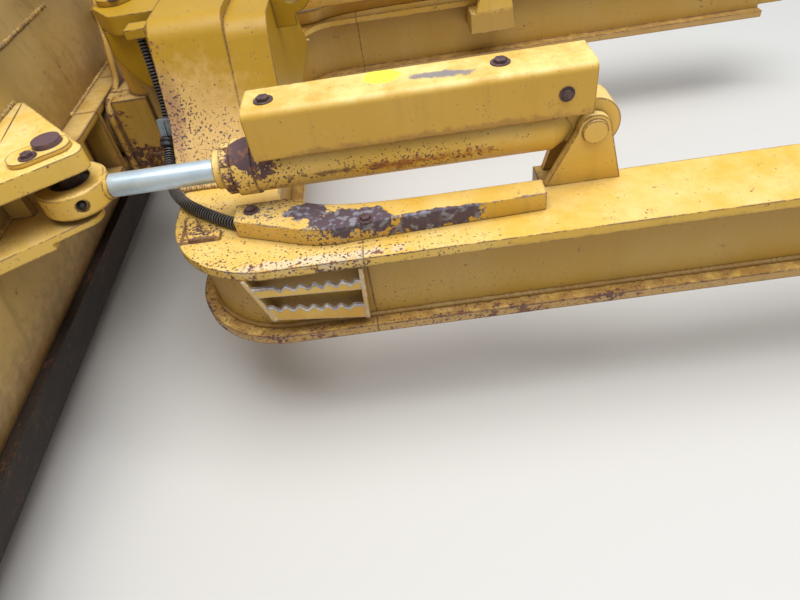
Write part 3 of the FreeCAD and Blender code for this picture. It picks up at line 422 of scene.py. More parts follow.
# The tower's paint is darker than the frame's: painted shade of its sloping plates.
towerPaint = paintLike("towerPaint", paint=paintColour(172, 132, 20), faded=paintColour(180, 140, 30), specks=0.008,
                       dust=0.0, patches=[((1.80, 0.36, 0.16), (0.04, 0.05, 0.05), 0.5)], freckles=[
    ((1.94, 0.34, 0.18), (0.12, 0.12, 0.10), 0.9), ((1.98, 0.26, 0.26), (0.04, 0.06, 0.13), 0.7)], stains=[
    stainAt((1.95, 0.33, 0.17), (0.17, 0.20, 0.17), (216, 178, 112), 0.8, 0.25, 0.4),
    stainAt((1.985, 0.275, 0.235), (0.022, 0.10, 0.10), (136, 96, 82), 0.6, 0.5, 0.6)])
guardPaint = paintLike("guardPaint", paint=paintColour(206, 160, 56), faded=paintColour(210, 166, 70),
                       dustColour=paintColour(238, 214, 138), dust=0.95, chips=-0.02, edgeWear=0.6, stains=[
    stainAt((1.476, 0.530, 0.371), (0.036, 0.030, 0.02), (240, 232, 60), 0.9, 0.2),
    stainAt((1.362, 0.560, 0.371), (0.062, 0.014, 0.02), (112, 110, 124), 0.85, 0.45, 0.3, -0.16),
    stainAt((1.36, 0.605, 0.269), (0.36, 0.01, 0.012), (150, 104, 52), 0.6, 0.8, 0.5)])
barrelPaint = paintLike("barrelPaint", edgeWear=1.0, patches=[
    ((1.776, 0.565, 0.278), (0.030, 0.038, 0.028), 2.4), ((1.745, 0.590, 0.243), (0.036, 0.03, 0.020), 1.1),
    ((1.815, 0.56, 0.24), (0.016, 0.06, 0.06), 0.9)], freckles=[
    ((1.74, 0.59, 0.225), (0.08, 0.04, 0.05), 1.1), ((1.45, 0.594, 0.215), (0.20, 0.04, 0.03), 1.0),
    ((1.815, 0.54, 0.226), (0.02, 0.07, 0.07), 1.4)], stains=[
    stainAt((1.43, 0.594, 0.215), (0.12, 0.03, 0.009), (156, 88, 38), 0.85, 1.3, 0.5),
    stainAt((1.62, 0.594, 0.216), (0.07, 0.03, 0.006), (110, 70, 50), 0.75, 1.4, 0.5)])
eyePaint = paintLike("eyePaint", chips=-0.012, stains=[
    stainAt((2.1205, side * 0.603, 0.226), (0.013, 0.010, 0.0145), (20, 17, 17), 1.0, 0.0) for side in (1, -1)])
clevisPaint = paintLike("clevisPaint", paint=paintColour(222, 180, 72), dust=0.8, specks=0.012, stains=[
    stainAt((2.297, side * 0.385, 0.330), (0.0022, 0.105, 0.02), (52, 38, 26), 0.85, 0.05, 0.3, side * 0.144)
    for side in (1, -1)])
flagPaint = paintLike("flagPaint", paint=paintColour(222, 180, 72), dust=0.8, specks=0.02, edgeWear=1.5, stains=[
    stainAt((2.155, side * 0.54, 0.370), (0.045, 0.045, 0.040), (96, 74, 82), 1.0, 0.0, 0.03) for side in (1, -1)])
coverPaint = paintLike("coverPaint", bare=paintColour(86, 70, 78), raw=paintColour(134, 132, 142), specks=0.01,
                       patches=[
    ((1.672, 0.622, 0.152), (0.040, 0.028, 0.03), 1.7), ((1.605, 0.668, 0.152), (0.050, 0.036, 0.03), 1.5),
    ((1.545, 0.672, 0.152), (0.040, 0.030, 0.03), 1.9), ((1.400, 0.690, 0.135), (0.110, 0.016, 0.03), 1.8),
    ((1.575, 0.715, 0.130), (0.080, 0.02, 0.03), 0.9)], freckles=[
    ((1.76, 0.60, 0.15), (0.09, 0.05, 0.03), 1.1), ((1.60, 0.68, 0.13), (0.12, 0.05, 0.03), 1.1)])
# The blade's back: its olive paint, darker than the frame's, is partly painted shade.
bladePaint = paintLike("bladePaint", paint=paintColour(176, 144, 78), faded=paintColour(190, 156, 90),
                       dustColour=paintColour(204, 174, 116), grime=0.8, streaks=0.35, scoured=0.9, stains=[
    # Darker brown towards the blade's bottom.
    stainAt((2.40, 0.0, -0.22), (0.16, 3.0, 0.19), (96, 64, 36), 0.85, 0.25, 0.6),
    stainAt((2.33, 0.0, 0.13), (0.05, 0.30, 0.16), (128, 88, 42), 0.6, 0.4, 0.6)])
# Pocket and yoke: darker paint and heavy corner darkening, partly painted shade of the pocket on the blade's back;
# real rust on the edges.
pocketPaint = paintLike("pocketPaint", paint=paintColour(188, 146, 56), faded=paintColour(198, 156, 76), grime=0.9,
                        edgeWear=2.0, edgeRadius=0.012, chips=0.012, specks=0.02, bare=paintColour(104, 70, 56),
                        raw=paintColour(150, 104, 62), streaks=0.3)
yokePaint = paintLike("yokePaint", paint=paintColour(186, 144, 56), faded=paintColour(198, 156, 76), grime=0.95,
                      edgeWear=1.6, edgeRadius=0.012, specks=0.02, chips=0.01, bare=paintColour(84, 54, 44),
                      raw=paintColour(138, 92, 54), streaks=0.35, patches=[
    # Dark rusty patches on the yoke body, partly painted shadow.
    ((2.125, 0.0, 0.02), (0.13, 0.13, 0.06), 0.9), ((2.235, 0.0, 0.12), (0.05, 0.12, 0.12), 0.7)])
# Near black: dark rust on the bottom beam, darkened further as painted shadow under the blade.
stripPaint = paintLike("stripPaint", paint=paintColour(24, 16, 9), faded=paintColour(44, 28, 14), chips=0.02,
                       roughness=0.8, streaks=0.3, grime=0.9, bare=paintColour(34, 22, 16),
                       raw=paintColour(60, 36, 22), dustColour=paintColour(92, 64, 36),
                       grimeColour=paintColour(22, 16, 12))
stepPaint = paintLike("stepPaint", paint=paintColour(200, 150, 48), edgeRadius=0.005, edgeWear=3.4, chips=0.02,
                      bare=paintColour(170, 162, 160), raw=paintColour(220, 212, 204))
seamPaint = paintLike("seamPaint", paint=paintColour(150, 112, 50), faded=paintColour(156, 118, 58), chips=-0.06,
                      edgeWear=0.0, grime=0.3, dust=0.2)
# The rod's pale blue colour is partly painted sky reflection, on the chrome's own colour.
rodChrome = metalLike("rodChrome", colour=paintColour(214, 230, 240), stain=paintColour(196, 212, 224), scale=14.0,
                      pits=0.05, metallic=0.62, roughness=0.30, roughChange=0.06, bump=0.03, grime=0.1)
wornTeeth = metalLike("wornTeeth", colour=paintColour(206, 200, 194), stain=paintColour(150, 142, 146),
                      pitColour=paintColour(96, 74, 62), pits=0.5, metallic=0.35, roughness=0.45, grime=0.1)
rustySteel = metalLike("rustySteel")
darkSteel = metalLike("darkSteel", colour=paintColour(46, 38, 36), stain=paintColour(30, 26, 26), roughness=0.4)
wornEdge = metalLike("wornEdge", colour=paintColour(140, 116, 98), stain=paintColour(112, 88, 70), scale=9.0,
                     metallic=0.4, roughness=0.42)
boltSteel = metalLike("boltSteel", colour=paintColour(96, 72, 72), stain=paintColour(66, 48, 48), scale=60.0)
blackPlastic = metalLike("blackPlastic", colour=paintColour(34, 34, 37), stain=paintColour(48, 46, 48), scale=25.0,
                         pits=0.1, roughness=0.4, roughChange=0.2, bump=0.1, grime=0.5)
greyPlastic = metalLike("greyPlastic", colour=paintColour(128, 138, 142), stain=paintColour(104, 112, 116), pits=0.15,
                        roughness=0.45, roughChange=0.2, bump=0.08)
weldPaint = paintLike("weldPaint", paint=paintColour(184, 146, 72), grime=0.3, specks=0.03, chips=0.02)


def ribbedPlastic(name, look):  # painted highlight and dust on the ridges of the conduit, painted shade (black) in its grooves
    made, tree, shader, place = newMaterial(name)
    ridge = tree.nodes.new("ShaderNodeAttribute")
    ridge.attribute_name = "ridge"
    dusty = fades(tree, grainy(tree, place, "ridge"), "dustyRidge")
    light = blendColour(tree, dusty, look["ridge"], look["dusty"])
    height = fades(tree, ridge.outputs["Fac"], "ridge")
    tree.links.new(blendColour(tree, height, look["groove"], light), shader.inputs["Base Color"])
    smoother = times(tree, height, look["smoother"])
    tree.links.new(sums(tree, "SUBTRACT", look["roughness"], smoother), shader.inputs["Roughness"])
    return made


# Crest colours are dust and painted highlight; the groove colour is painted shade.
conduitPlastic = ribbedPlastic("conduitPlastic", {
    "groove": paintColour(6, 5, 5),
    "ridge": paintColour(84, 78, 76),
    "dusty": paintColour(116, 108, 102),
    "roughness": 0.75,
    "smoother": 0.4,
})

finishOf = [
    (framePaint, ["arm", "pivot_eye", "base_bracket", "step", "cross_member", "lower_lug"]),
    (towerPaint, ["tower", "upper_lug", "lift_ear", "conduit_block", "king_pin"]),
    (yokePaint, ["yoke"]),
    (guardPaint, ["guard", "guard_posts"]),
    (barrelPaint, ["barrel", "gland", "tilt_barrel"]),
    (eyePaint, ["rod_eye"]),
    (clevisPaint, ["clevis"]),
    (flagPaint, ["pin_head"]),
    (pocketPaint, ["backing_box", "tilt_bracket", "tilt_hub"]),
    (coverPaint, ["hose_cover"]),
    (bladePaint, ["mouldboard", "top_beam", "rib", "outer_rib", "end_plate"]),
    (stripPaint, ["bottom_beam"]),
    (rodChrome, ["rod", "tilt_rod"]),
    (rustySteel, ["clevis_pin"]),
    (darkSteel, ["bearing"]),
    (wornEdge, ["cutting_edge", "end_bit"]),
    (conduitPlastic, ["conduit"]),
    (greyPlastic, ["conduit_connector"]),
]
for finish, pieces in finishOf:
    for name, node in nodes.items():
        if name.removeprefix("left_").removeprefix("right_") in pieces:
            node.data.materials.clear()
            node.data.materials.append(finish)
print("finishes on", len(nodes), "nodes")


# Meshes, each with its place in its points.
def addPiece(name, mesh, material, body, smooth=False):
    piece = bpy.data.objects.new(name, mesh)
    scene.collection.objects.link(piece)
    mesh.materials.clear()
    mesh.materials.append(material)
    for face in mesh.polygons:
        face.use_smooth = smooth
    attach(piece, body)
    return piece


def settled(host):  # the modified mesh as a plain one, with the host removed
    bpy.context.view_layer.update()
    graph = bpy.context.evaluated_depsgraph_get()
    mesh = bpy.data.meshes.new_from_object(host.evaluated_get(graph))
    bpy.data.objects.remove(host)
    return mesh


def newTree(name, **sizes):  # a tree that takes a geometry and these sizes
    tree = bpy.data.node_groups.new(name, "GeometryNodeTree")
    tree.interface.new_socket("Geometry", in_out="INPUT", socket_type="NodeSocketGeometry")
    tree.interface.new_socket("Geometry", in_out="OUTPUT", socket_type="NodeSocketGeometry")
    for label, kind in sizes.items():
        tree.interface.new_socket(label, in_out="INPUT", socket_type="NodeSocket" + kind)
    return tree, tree.nodes.new("NodeGroupInput").outputs, tree.nodes.new("NodeGroupOutput")


def copiesOn(tree, points, shape, change, amount):  # real copies of a shape on points, each changed
    place = tree.nodes.new("GeometryNodeInstanceOnPoints")
    tree.links.new(points, place.inputs["Points"])
    tree.links.new(shape, place.inputs["Instance"])
    tree.links.new(amount, place.inputs[change])
    real = tree.nodes.new("GeometryNodeRealizeInstances")
    tree.links.new(place.outputs[0], real.inputs[0])
    return real.outputs[0]


def closeTree(tree, end, geometry, material):
    finish = tree.nodes.new("GeometryNodeSetMaterial")
    finish.inputs["Material"].default_value = material
    tree.links.new(geometry, finish.inputs["Geometry"])
    tree.links.new(finish.outputs[0], end.inputs[0])
    return tree


def grow(host, tree, values):  # runs a tree on a host object and gives the mesh
    modifier = host.modifiers.new("grow", "NODES")
    modifier.node_group = tree
    for socket in tree.interface.items_tree:
        if socket.in_out == "INPUT" and socket.name in values:
            modifier[socket.identifier] = values[socket.name]
    return settled(host)


def curveHost(name, lines, smooth=False):
    curve = bpy.data.curves.new(name, "CURVE")
    curve.dimensions = "3D"
    for points in lines:
        spline = curve.splines.new("NURBS" if smooth else "POLY")
        spline.points.add(len(points) - 1)
        for point, where in zip(spline.points, points):
            point.co = (*where, 1)
        if smooth:
            spline.order_u = 3
            spline.use_endpoint_u = True
    host = bpy.data.objects.new(name, curve)
    scene.collection.objects.link(host)
    return host


# Weld beads: overlapping scallops along a seam.
scallop = {"segments": 8, "rings": 5, "smallest": 0.8, "largest": 1.15, "seed": 7}


def weldTree():
    tree, start, end = newTree("weldBead", Spacing="Float", Radius="Float")
    points = tree.nodes.new("GeometryNodeCurveToPoints")
    points.mode = "LENGTH"
    tree.links.new(start["Geometry"], points.inputs["Curve"])
    tree.links.new(start["Spacing"], points.inputs["Length"])
    ball = tree.nodes.new("GeometryNodeMeshUVSphere")
    ball.inputs["Segments"].default_value = scallop["segments"]
    ball.inputs["Rings"].default_value = scallop["rings"]
    tree.links.new(start["Radius"], ball.inputs["Radius"])
    vary = tree.nodes.new("FunctionNodeRandomValue")
    vary.data_type = "FLOAT"
    vary.inputs[2].default_value = scallop["smallest"]
    vary.inputs[3].default_value = scallop["largest"]
    vary.inputs["Seed"].default_value = scallop["seed"]
    copies = copiesOn(tree, points.outputs["Points"], ball.outputs["Mesh"], "Scale", vary.outputs[1])
    return closeTree(tree, end, copies, weldPaint)


# Bolt heads: one hexagon with a washer at each point of the host, turned to face a side.
boltDrums = {"head": (6, 1.0, 2.0), "washer": (20, 1.5, 0.5)}  # sides, and shares of the radius and the height


def boltTree():
    tree, start, end = newTree("boltHeads", Radius="Float", Height="Float", Turn="Vector")
    both = tree.nodes.new("GeometryNodeJoinGeometry")
    for sides, wide, tall in boltDrums.values():
        drum = tree.nodes.new("GeometryNodeMeshCylinder")
        drum.inputs["Vertices"].default_value = sides
        tree.links.new(times(tree, start["Radius"], wide), drum.inputs["Radius"])
        tree.links.new(times(tree, start["Height"], tall), drum.inputs["Depth"])
        tree.links.new(drum.outputs["Mesh"], both.inputs[0])
    turn = tree.nodes.new("FunctionNodeEulerToRotation")
    tree.links.new(start["Turn"], turn.inputs[0])
    copies = copiesOn(tree, start["Geometry"], both.outputs[0], "Rotation", turn.outputs[0])
    return closeTree(tree, end, copies, boltSteel)


# Ribbed conduit: a tube along the route whose radius steps in and out, and that is slimmer above a height.
rib = {"rings": 4, "highBelow": 1.5, "sides": 18}  # rings in a pitch, and those that stand out, counted from 0


def conduitTree():
    tree, start, end = newTree("ribbedTube", Pitch="Float", Outer="Float", Inner="Float", Slim="Float",
                               SlimFrom="Float", SlimTo="Float")
    spaced = tree.nodes.new("GeometryNodeResampleCurve")
    spaced.mode = "LENGTH"
    tree.links.new(start["Geometry"], spaced.inputs["Curve"])
    tree.links.new(sums(tree, "DIVIDE", start["Pitch"], rib["rings"]), spaced.inputs["Length"])
    count = tree.nodes.new("GeometryNodeInputIndex").outputs[0]
    high = sums(tree, "LESS_THAN", sums(tree, "MODULO", count, rib["rings"]), rib["highBelow"])
    size = tree.nodes.new("ShaderNodeMix")
    size.data_type = "FLOAT"
    tree.links.new(high, size.inputs[0])
    tree.links.new(start["Inner"], size.inputs[2])
    tree.links.new(start["Outer"], size.inputs[3])
    ridge = tree.nodes.new("GeometryNodeStoreNamedAttribute")
    ridge.data_type = "FLOAT"
    ridge.domain = "POINT"
    ridge.inputs["Name"].default_value = "ridge"
    tree.links.new(spaced.outputs[0], ridge.inputs["Geometry"])
    tree.links.new(high, ridge.inputs["Value"])
    ring = tree.nodes.new("GeometryNodeCurvePrimitiveCircle")
    ring.inputs["Resolution"].default_value = rib["sides"]
    ring.inputs["Radius"].default_value = 1
    slim = tree.nodes.new("ShaderNodeMapRange")
    height = parts(tree, tree.nodes.new("GeometryNodeInputPosition").outputs[0])["Z"]
    for socket, value in enumerate((height, start["SlimFrom"], start["SlimTo"], 1.0, start["Slim"])):
        feed(tree, slim.inputs[socket], value)
    tube = tree.nodes.new("GeometryNodeCurveToMesh")
    tube.inputs["Fill Caps"].default_value = True
    tree.links.new(ridge.outputs[0], tube.inputs["Curve"])
    tree.links.new(ring.outputs["Curve"], tube.inputs["Profile Curve"])
    tree.links.new(times(tree, size.outputs[0], slim.outputs[0]), tube.inputs["Scale"])
    return closeTree(tree, end, tube.outputs[0], conduitPlastic)


conduit = {
    "route": [(2.024, 0.196, 0.404), (2.024, 0.212, 0.300), (2.026, 0.232, 0.215), (2.034, 0.290, 0.150),
              (2.024, 0.380, 0.124), (1.985, 0.470, 0.122), (1.900, 0.547, 0.122), (1.826, 0.600, 0.122),
              (1.740, 0.636, 0.122)],
    "pitch": 0.0076,
    "outer": 0.0135,
    "inner": 0.0098,
    "slim": 0.8,
    "slimFrom": 0.195,
    "slimTo": 0.23,
    "smoothness": 12,
}
routeHost = curveHost("conduitRoute", [conduit["route"]], smooth=True)
routeHost.data.resolution_u = conduit["smoothness"]
bpy.context.view_layer.update()
routeMesh = bpy.data.meshes.new_from_object(routeHost.evaluated_get(bpy.context.evaluated_depsgraph_get()))
tubeMesh = grow(routeHost, conduitTree(), {
    "Pitch": conduit["pitch"],
    "Outer": conduit["outer"],
    "Inner": conduit["inner"],
    "Slim": conduit["slim"],
    "SlimFrom": conduit["slimFrom"],
    "SlimTo": conduit["slimTo"],
})
tube = addPiece("ribbedConduit", tubeMesh, conduitPlastic, "push_frame")
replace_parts(tube, "conduit")


# Turned pieces: a profile of (radius, height) spun about an axis.
turnedSides = 24
mergeWithin = 0.00002


def turnedMesh(name, profile, centre, axis):
    mesh = bpy.data.meshes.new(name)
    shape = bmesh.new()
    chain = [shape.verts.new((radius, 0, height)) for radius, height in profile]
    rims = [shape.edges.new(pair) for pair in zip(chain, chain[1:])]
    bmesh.ops.spin(shape, geom=chain + rims, cent=(0, 0, 0), axis=(0, 0, 1), angle=2 * math.pi,
                   steps=turnedSides)
    bmesh.ops.remove_doubles(shape, verts=shape.verts, dist=mergeWithin)
    bmesh.ops.recalc_face_normals(shape, faces=shape.faces)
    turn = Vector((0, 0, 1)).rotation_difference(Vector(axis)).to_matrix().to_4x4()
    bmesh.ops.transform(shape, matrix=Matrix.Translation(centre) @ turn, verts=shape.verts)
    shape.to_mesh(mesh)
    shape.free()
    return mesh


def roundedBlock(name, centre, size, rounding, tilt):
    mesh = bpy.data.meshes.new(name)
    shape = bmesh.new()
    bmesh.ops.create_cube(shape, size=1.0)
    bmesh.ops.scale(shape, vec=size, verts=shape.verts)
    bmesh.ops.bevel(shape, geom=list(shape.edges), offset=rounding, segments=3, profile=0.5, affect="EDGES")
    turn = Matrix.Rotation(tilt, 4, "X")
    bmesh.ops.transform(shape, matrix=Matrix.Translation(centre) @ turn, verts=shape.verts)
    shape.to_mesh(mesh)
    shape.free()
    return mesh


def joinMeshes(name, meshes):
    joined = bpy.data.meshes.new(name)
    shape = bmesh.new()
    for mesh in meshes:
        shape.from_mesh(mesh)
        bpy.data.meshes.remove(mesh)
    shape.to_mesh(joined)
    shape.free()
    return joined


# The conduit's connector: a grey housing with a clip, and a black collar that the lower conduit enters.
connector = {
    "middle": (2.029, 0.251, 0.199),
    "size": (0.036, 0.034, 0.044),
    "round": 0.004,
    "clip": (0.0035, 0.010, 0.036),
    "clipFromMiddle": (0.0, 0.017, 0.004),
    "clipRound": 0.0012,
    "lean": 0.35,
    "collarAt": (2.0325, 0.277, 0.170),
    "collarWay": (0.09, 0.66, -0.74),
    "collar": [(0.0, -0.010), (0.0185, -0.010), (0.0195, -0.008), (0.0195, -0.003), (0.0172, -0.002), (0.0172, 0.001),
               (0.0195, 0.002), (0.0195, 0.008), (0.0182, 0.010), (0.0, 0.010)],
}
housing = roundedBlock("housing", connector["middle"], connector["size"], connector["round"], connector["lean"])
clipPlace = Vector(connector["middle"]) + Vector(connector["clipFromMiddle"])
clip = roundedBlock("clip", clipPlace, connector["clip"], connector["clipRound"], connector["lean"])
housingMesh = joinMeshes("connectorHousing", [housing, clip])
housingPiece = addPiece("connectorHousing", housingMesh, greyPlastic, "push_frame")
collarMesh = turnedMesh("connectorCollar", connector["collar"], connector["collarAt"], connector["collarWay"])
addPiece("connectorCollar", collarMesh, blackPlastic, "push_frame", smooth=True)
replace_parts(housingPiece, "conduit_connector")

# Grease nipples in the recesses of the rods' eyes.
nipple = {
    "reach": 0.066,
    "turn": (-0.4848, 0.8746),
    "profile": [(0.0, 0.0), (0.0085, 0.0), (0.0085, 0.0025), (0.0045, 0.003), (0.0045, 0.0045), (0.0062, 0.0065),
                (0.0055, 0.0085), (0.003, 0.0095), (0.0, 0.0098)],
}
pinBox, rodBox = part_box("left_clevis_pin"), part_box("left_rod")
eyeAt = ((pinBox[0].x + pinBox[1].x) / 2, (pinBox[0].y + pinBox[1].y) / 2)
axisHigh = (rodBox[0].z + rodBox[1].z) / 2
for side, sign in (("left", 1), ("right", -1)):
    way = (nipple["turn"][0], sign * nipple["turn"][1], 0)
    centre = (eyeAt[0] + nipple["reach"] * way[0], sign * eyeAt[1] + nipple["reach"] * way[1], axisHigh)
    mesh = turnedMesh(side + "Nipple", nipple["profile"], centre, way)
    addPiece(side + "Nipple", mesh, darkSteel, side + "_rod", smooth=True)
print("connector and nipples")

# Bolts: the body that they ride on, the side that they face, their radius and height, and their places.
edgeBolt = {"lean": 1.1, "behind": 0.068, "below": 0.070, "apart": 0.19, "eachSide": 8}
flagThick = 0.010
coverTop = 0.150
up, outward, inward, onEdge = (0, 0, 0), (-math.pi / 2, 0, 0), (math.pi / 2, 0, 0), (0, edgeBolt["lean"], 0)
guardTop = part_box("left_guard")[1].z
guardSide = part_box("left_guard")[1].y
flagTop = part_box("left_clevis")[1].z + flagThick
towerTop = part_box("king_pin")[1].z
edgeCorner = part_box("cutting_edge")[1]
edgeFace = [(edgeCorner.x - edgeBolt["behind"], count * edgeBolt["apart"], edgeCorner.z - edgeBolt["below"])
            for count in range(-edgeBolt["eachSide"], edgeBolt["eachSide"] + 1)]


def bothSides(points):
    return points + [(x, -y, z) for x, y, z in points]


def bothLines(lines):
    return lines + [[(x, -y, z) for x, y, z in line] for line in lines]


bolts = {
    "guardBoltsLeft": ("left_barrel", up, 0.013, 0.008, [(1.705, 0.560, guardTop), (1.249, 0.548, guardTop)]),
    "guardBoltsRight": ("right_barrel", up, 0.013, 0.008, [(1.705, -0.560, guardTop), (1.249, -0.548, guardTop)]),
    "guardNutLeft": ("left_barrel", outward, 0.010, 0.007, [(1.134, guardSide, 0.317)]),
    "guardNutRight": ("right_barrel", inward, 0.010, 0.007, [(1.134, -guardSide, 0.317)]),
    "coverBolts": ("push_frame", up, 0.011, 0.008, bothSides([(1.791, 0.594, coverTop), (1.546, 0.679, coverTop)])),
    "lugBolt": ("push_frame", up, 0.010, 0.007, [(2.114, 0.034, towerTop)]),
    "flagBolts": ("blade", up, 0.012, 0.009, bothSides([(2.178, 0.586, flagTop)])),
    "edgeBolts": ("blade", onEdge, 0.016, 0.005, edgeFace),
}
boltHeads = boltTree()
for name, (body, turn, radius, height, points) in bolts.items():
    mesh = bpy.data.meshes.new(name)
    mesh.from_pydata(points, [], [])
    host = bpy.data.objects.new(name, mesh)
    scene.collection.objects.link(host)
    grown = grow(host, boltHeads, {"Radius": radius, "Height": height, "Turn": turn})
    addPiece(name, grown, boltSteel, body)
print("bolts", sum(len(row[-1]) for row in bolts.values()))

# Weld beads: the body that they ride on, their radius, and their seams.
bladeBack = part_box("mouldboard")[0].x
backCurve = {"radius": 1.0, "height": 0.180, "proud": 0.001}


def onBack(y, *heights):  # a seam up the blade's curved back
    radius = backCurve["radius"]
    middle = bladeBack + radius - backCurve["proud"]
    return [(middle - (radius ** 2 - (z - backCurve["height"]) ** 2) ** 0.5, y, z) for z in heights]


def across(low, high, z):  # a seam along the blade's back, at one height
    return [onBack(low, z)[0], onBack(high, z)[0]]


frameCorner = {"rear": 0.10, "side": 0.75, "bend": (1.755, 0.52), "radius": 0.23, "front": 1.985, "middle": 0.10,
               "steps": 8}


def alongCorner(inset, z):  # a seam round the frame's outer corner, at the foot of its web
    bendX, bendY = frameCorner["bend"]
    radius = frameCorner["radius"] - inset
    line = [(x, frameCorner["side"] - inset, z) for x in (frameCorner["rear"], bendX)]
    for count in range(1, frameCorner["steps"] + 1):
        turn = math.pi / 2 * count / frameCorner["steps"]
        line.append((bendX + radius * math.sin(turn), bendY + radius * math.cos(turn), z))
    return line + [(frameCorner["front"] - inset, frameCorner["middle"], z)]


ribHeights = (-0.078, 0.0, 0.08, 0.16, 0.24, 0.32, 0.40)
ribSides = [middle + half for middle in (1.08, 1.49) for half in (0.012, -0.012)]
bracketIn = 0.030
weldSpacing = 0.9
beads = {
    "bladeBackWelds": ("blade", 0.006, [
        [(bladeBack + bracketIn, y, 0.424) for y in (-0.084, 0.229)],
        [(bladeBack - backCurve["proud"], y, 0.206) for y in (-0.291, 0.117)],
        across(0.300, 0.712, 0.333), across(-0.712, -0.300, 0.333),
        across(0.375, 0.706, 0.188), across(-0.706, -0.375, 0.188)]),
    "ribWelds": ("blade", 0.007, [onBack(sign * y, *ribHeights) for sign in (1, -1) for y in ribSides]),
    "towerWelds": ("push_frame", 0.007, bothLines([[(1.724, 0.412, 0.111), (1.983, 0.412, 0.111)]])),
    "frameWelds": ("push_frame", 0.007, bothLines([alongCorner(0.032, -0.083)])),
}
weldBead = weldTree()
for name, (body, radius, lines) in beads.items():
    grown = grow(curveHost(name, lines), weldBead, {"Spacing": radius * weldSpacing, "Radius": radius})
    addPiece(name, grown, seamPaint if name == "frameWelds" else weldPaint, body, smooth=True)
    print(name, len(grown.polygons), "faces")


# Bars and nuts: an outline given a depth. The right side is the left one mirrored.
def prism(name, outline, low, high, upright=False):
    mesh = bpy.data.meshes.new(name)
    shape = bmesh.new()
    if upright:  # the outline lies on X and Z, the depth along Y
        ring = [shape.verts.new((x, low, z)) for x, z in outline]
        shift = (0, high - low, 0)
    else:
        ring = [shape.verts.new((x, y, low)) for x, y in outline]
        shift = (0, 0, high - low)
    face = shape.faces.new(ring)
    raised = bmesh.ops.extrude_face_region(shape, geom=[face])["geom"]
    bmesh.ops.translate(shape, vec=shift, verts=[item for item in raised if isinstance(item, bmesh.types.BMVert)])
    bmesh.ops.recalc_face_normals(shape, faces=shape.faces)
    shape.to_mesh(mesh)
    shape.free()
    return mesh


def otherSide(mesh, name):
    copy = mesh.copy()
    copy.name = name
    copy.transform(Matrix.Scale(-1, 4, (0, 1, 0)))
    copy.flip_normals()
    return copy


bevelFrom = 0.6  # the angle between two faces above which their edge is bevelled


def finished(mesh, width, segments=2, wall=0.0):  # bevelled, with a wall where it is a sheet
    host = bpy.data.objects.new(mesh.name, mesh)
    scene.collection.objects.link(host)
    if wall:
        sheet = host.modifiers.new("wall", "SOLIDIFY")
        sheet.thickness = wall
        sheet.offset = -1
    bevel = host.modifiers.new("edge", "BEVEL")
    bevel.width = width
    bevel.segments = segments
    bevel.limit_method = "ANGLE"
    bevel.angle_limit = bevelFrom
    return settled(host)


# Steps: toothed bars between two struts on the arm's web, with a worn band along the teeth.
step = {
    "upper": ((1.801, 0.064), (1.574, 0.050), 1.758),  # both ends of the top edge, and where its teeth begin
    "lower": ((1.784, 0.008), (1.576, -0.020), 1.773),
    "upperTall": 0.027,
    "lowerTall": 0.040,
    "pitch": 0.029,
    "tooth": 0.011,
    "valleys": [(0.08, 0.0), (0.5, 1.0), (0.92, 0.0)],  # along one tooth's pitch, and the share of its depth
    "worn": 0.006,
    "face": (0.7425, 0.7480),
    "wornFace": (0.7400, 0.7488),
    "strutDepth": (0.714, 0.7485),
    "frontStrut": [(1.806, 0.086), (1.816, 0.086), (1.780, -0.036), (1.770, -0.036)],
    "rearStrut": [(1.566, 0.080), (1.575, 0.080), (1.581, -0.062), (1.572, -0.062)],
    "edge": 0.0012,
    "wornEdge": 0.0008,
}


def toothedEdge(start, end, teethFrom):
    slope = (end[1] - start[1]) / (end[0] - start[0])
    top = [start]
    for tooth in range(int((teethFrom - end[0]) / step["pitch"])):
        for share, drop in step["valleys"]:
            x = teethFrom - step["pitch"] * (tooth + share)
            top.append((x, start[1] + slope * (x - start[0]) - drop * step["tooth"]))
    return top + [end]


def toothedBar(name, bar, tall):
    start, end, _ = bar
    foot = [(end[0], end[1] - tall), (start[0], start[1] - tall)]
    return prism(name, toothedEdge(*bar) + foot, *step["face"], upright=True)


def wornBand(name, bar):
    top = toothedEdge(*bar)
    foot = [(x, z - step["worn"]) for x, z in reversed(top)]
    return prism(name, top + foot, *step["wornFace"], upright=True)


stepMeshes = [toothedBar("upperBar", step["upper"], step["upperTall"]),
              toothedBar("lowerBar", step["lower"], step["lowerTall"]),
              prism("frontStrut", step["frontStrut"], *step["strutDepth"], upright=True),
              prism("rearStrut", step["rearStrut"], *step["strutDepth"], upright=True)]
wornMeshes = [wornBand("upperTeeth", step["upper"]), wornBand("lowerTeeth", step["lower"])]
leftTeeth = finished(joinMeshes("leftStepTeeth", wornMeshes), step["wornEdge"], 1)
for side, teeth in (("left", leftTeeth), ("right", otherSide(leftTeeth, "rightStepTeeth"))):
    addPiece(side + "StepTeeth", teeth, wornTeeth, "push_frame")
leftStep = finished(joinMeshes("leftStepBars", stepMeshes), step["edge"])
rightStep = otherSide(leftStep, "rightStepBars")
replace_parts(addPiece("leftStepBars", leftStep, stepPaint, "push_frame"), "left_step")
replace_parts(addPiece("rightStepBars", rightStep, stepPaint, "push_frame"), "right_step")

# Hose covers: a sheet folded down along both sides, cut back where the arm narrows, open at its ends.
cover = {
    "inner": [(1.827, 0.566), (1.722, 0.566), (1.700, 0.573), (1.676, 0.590), (1.645, 0.603), (1.609, 0.613),
              (1.556, 0.621), (1.500, 0.625), (1.430, 0.627), (1.180, 0.627)],
    "outer": [(1.180, 0.676), (1.560, 0.692), (1.610, 0.697), (1.650, 0.692), (1.690, 0.680), (1.827, 0.624)],
    "foot": 0.1083,
    "wall": 0.005,
    "fold": 0.004,
}


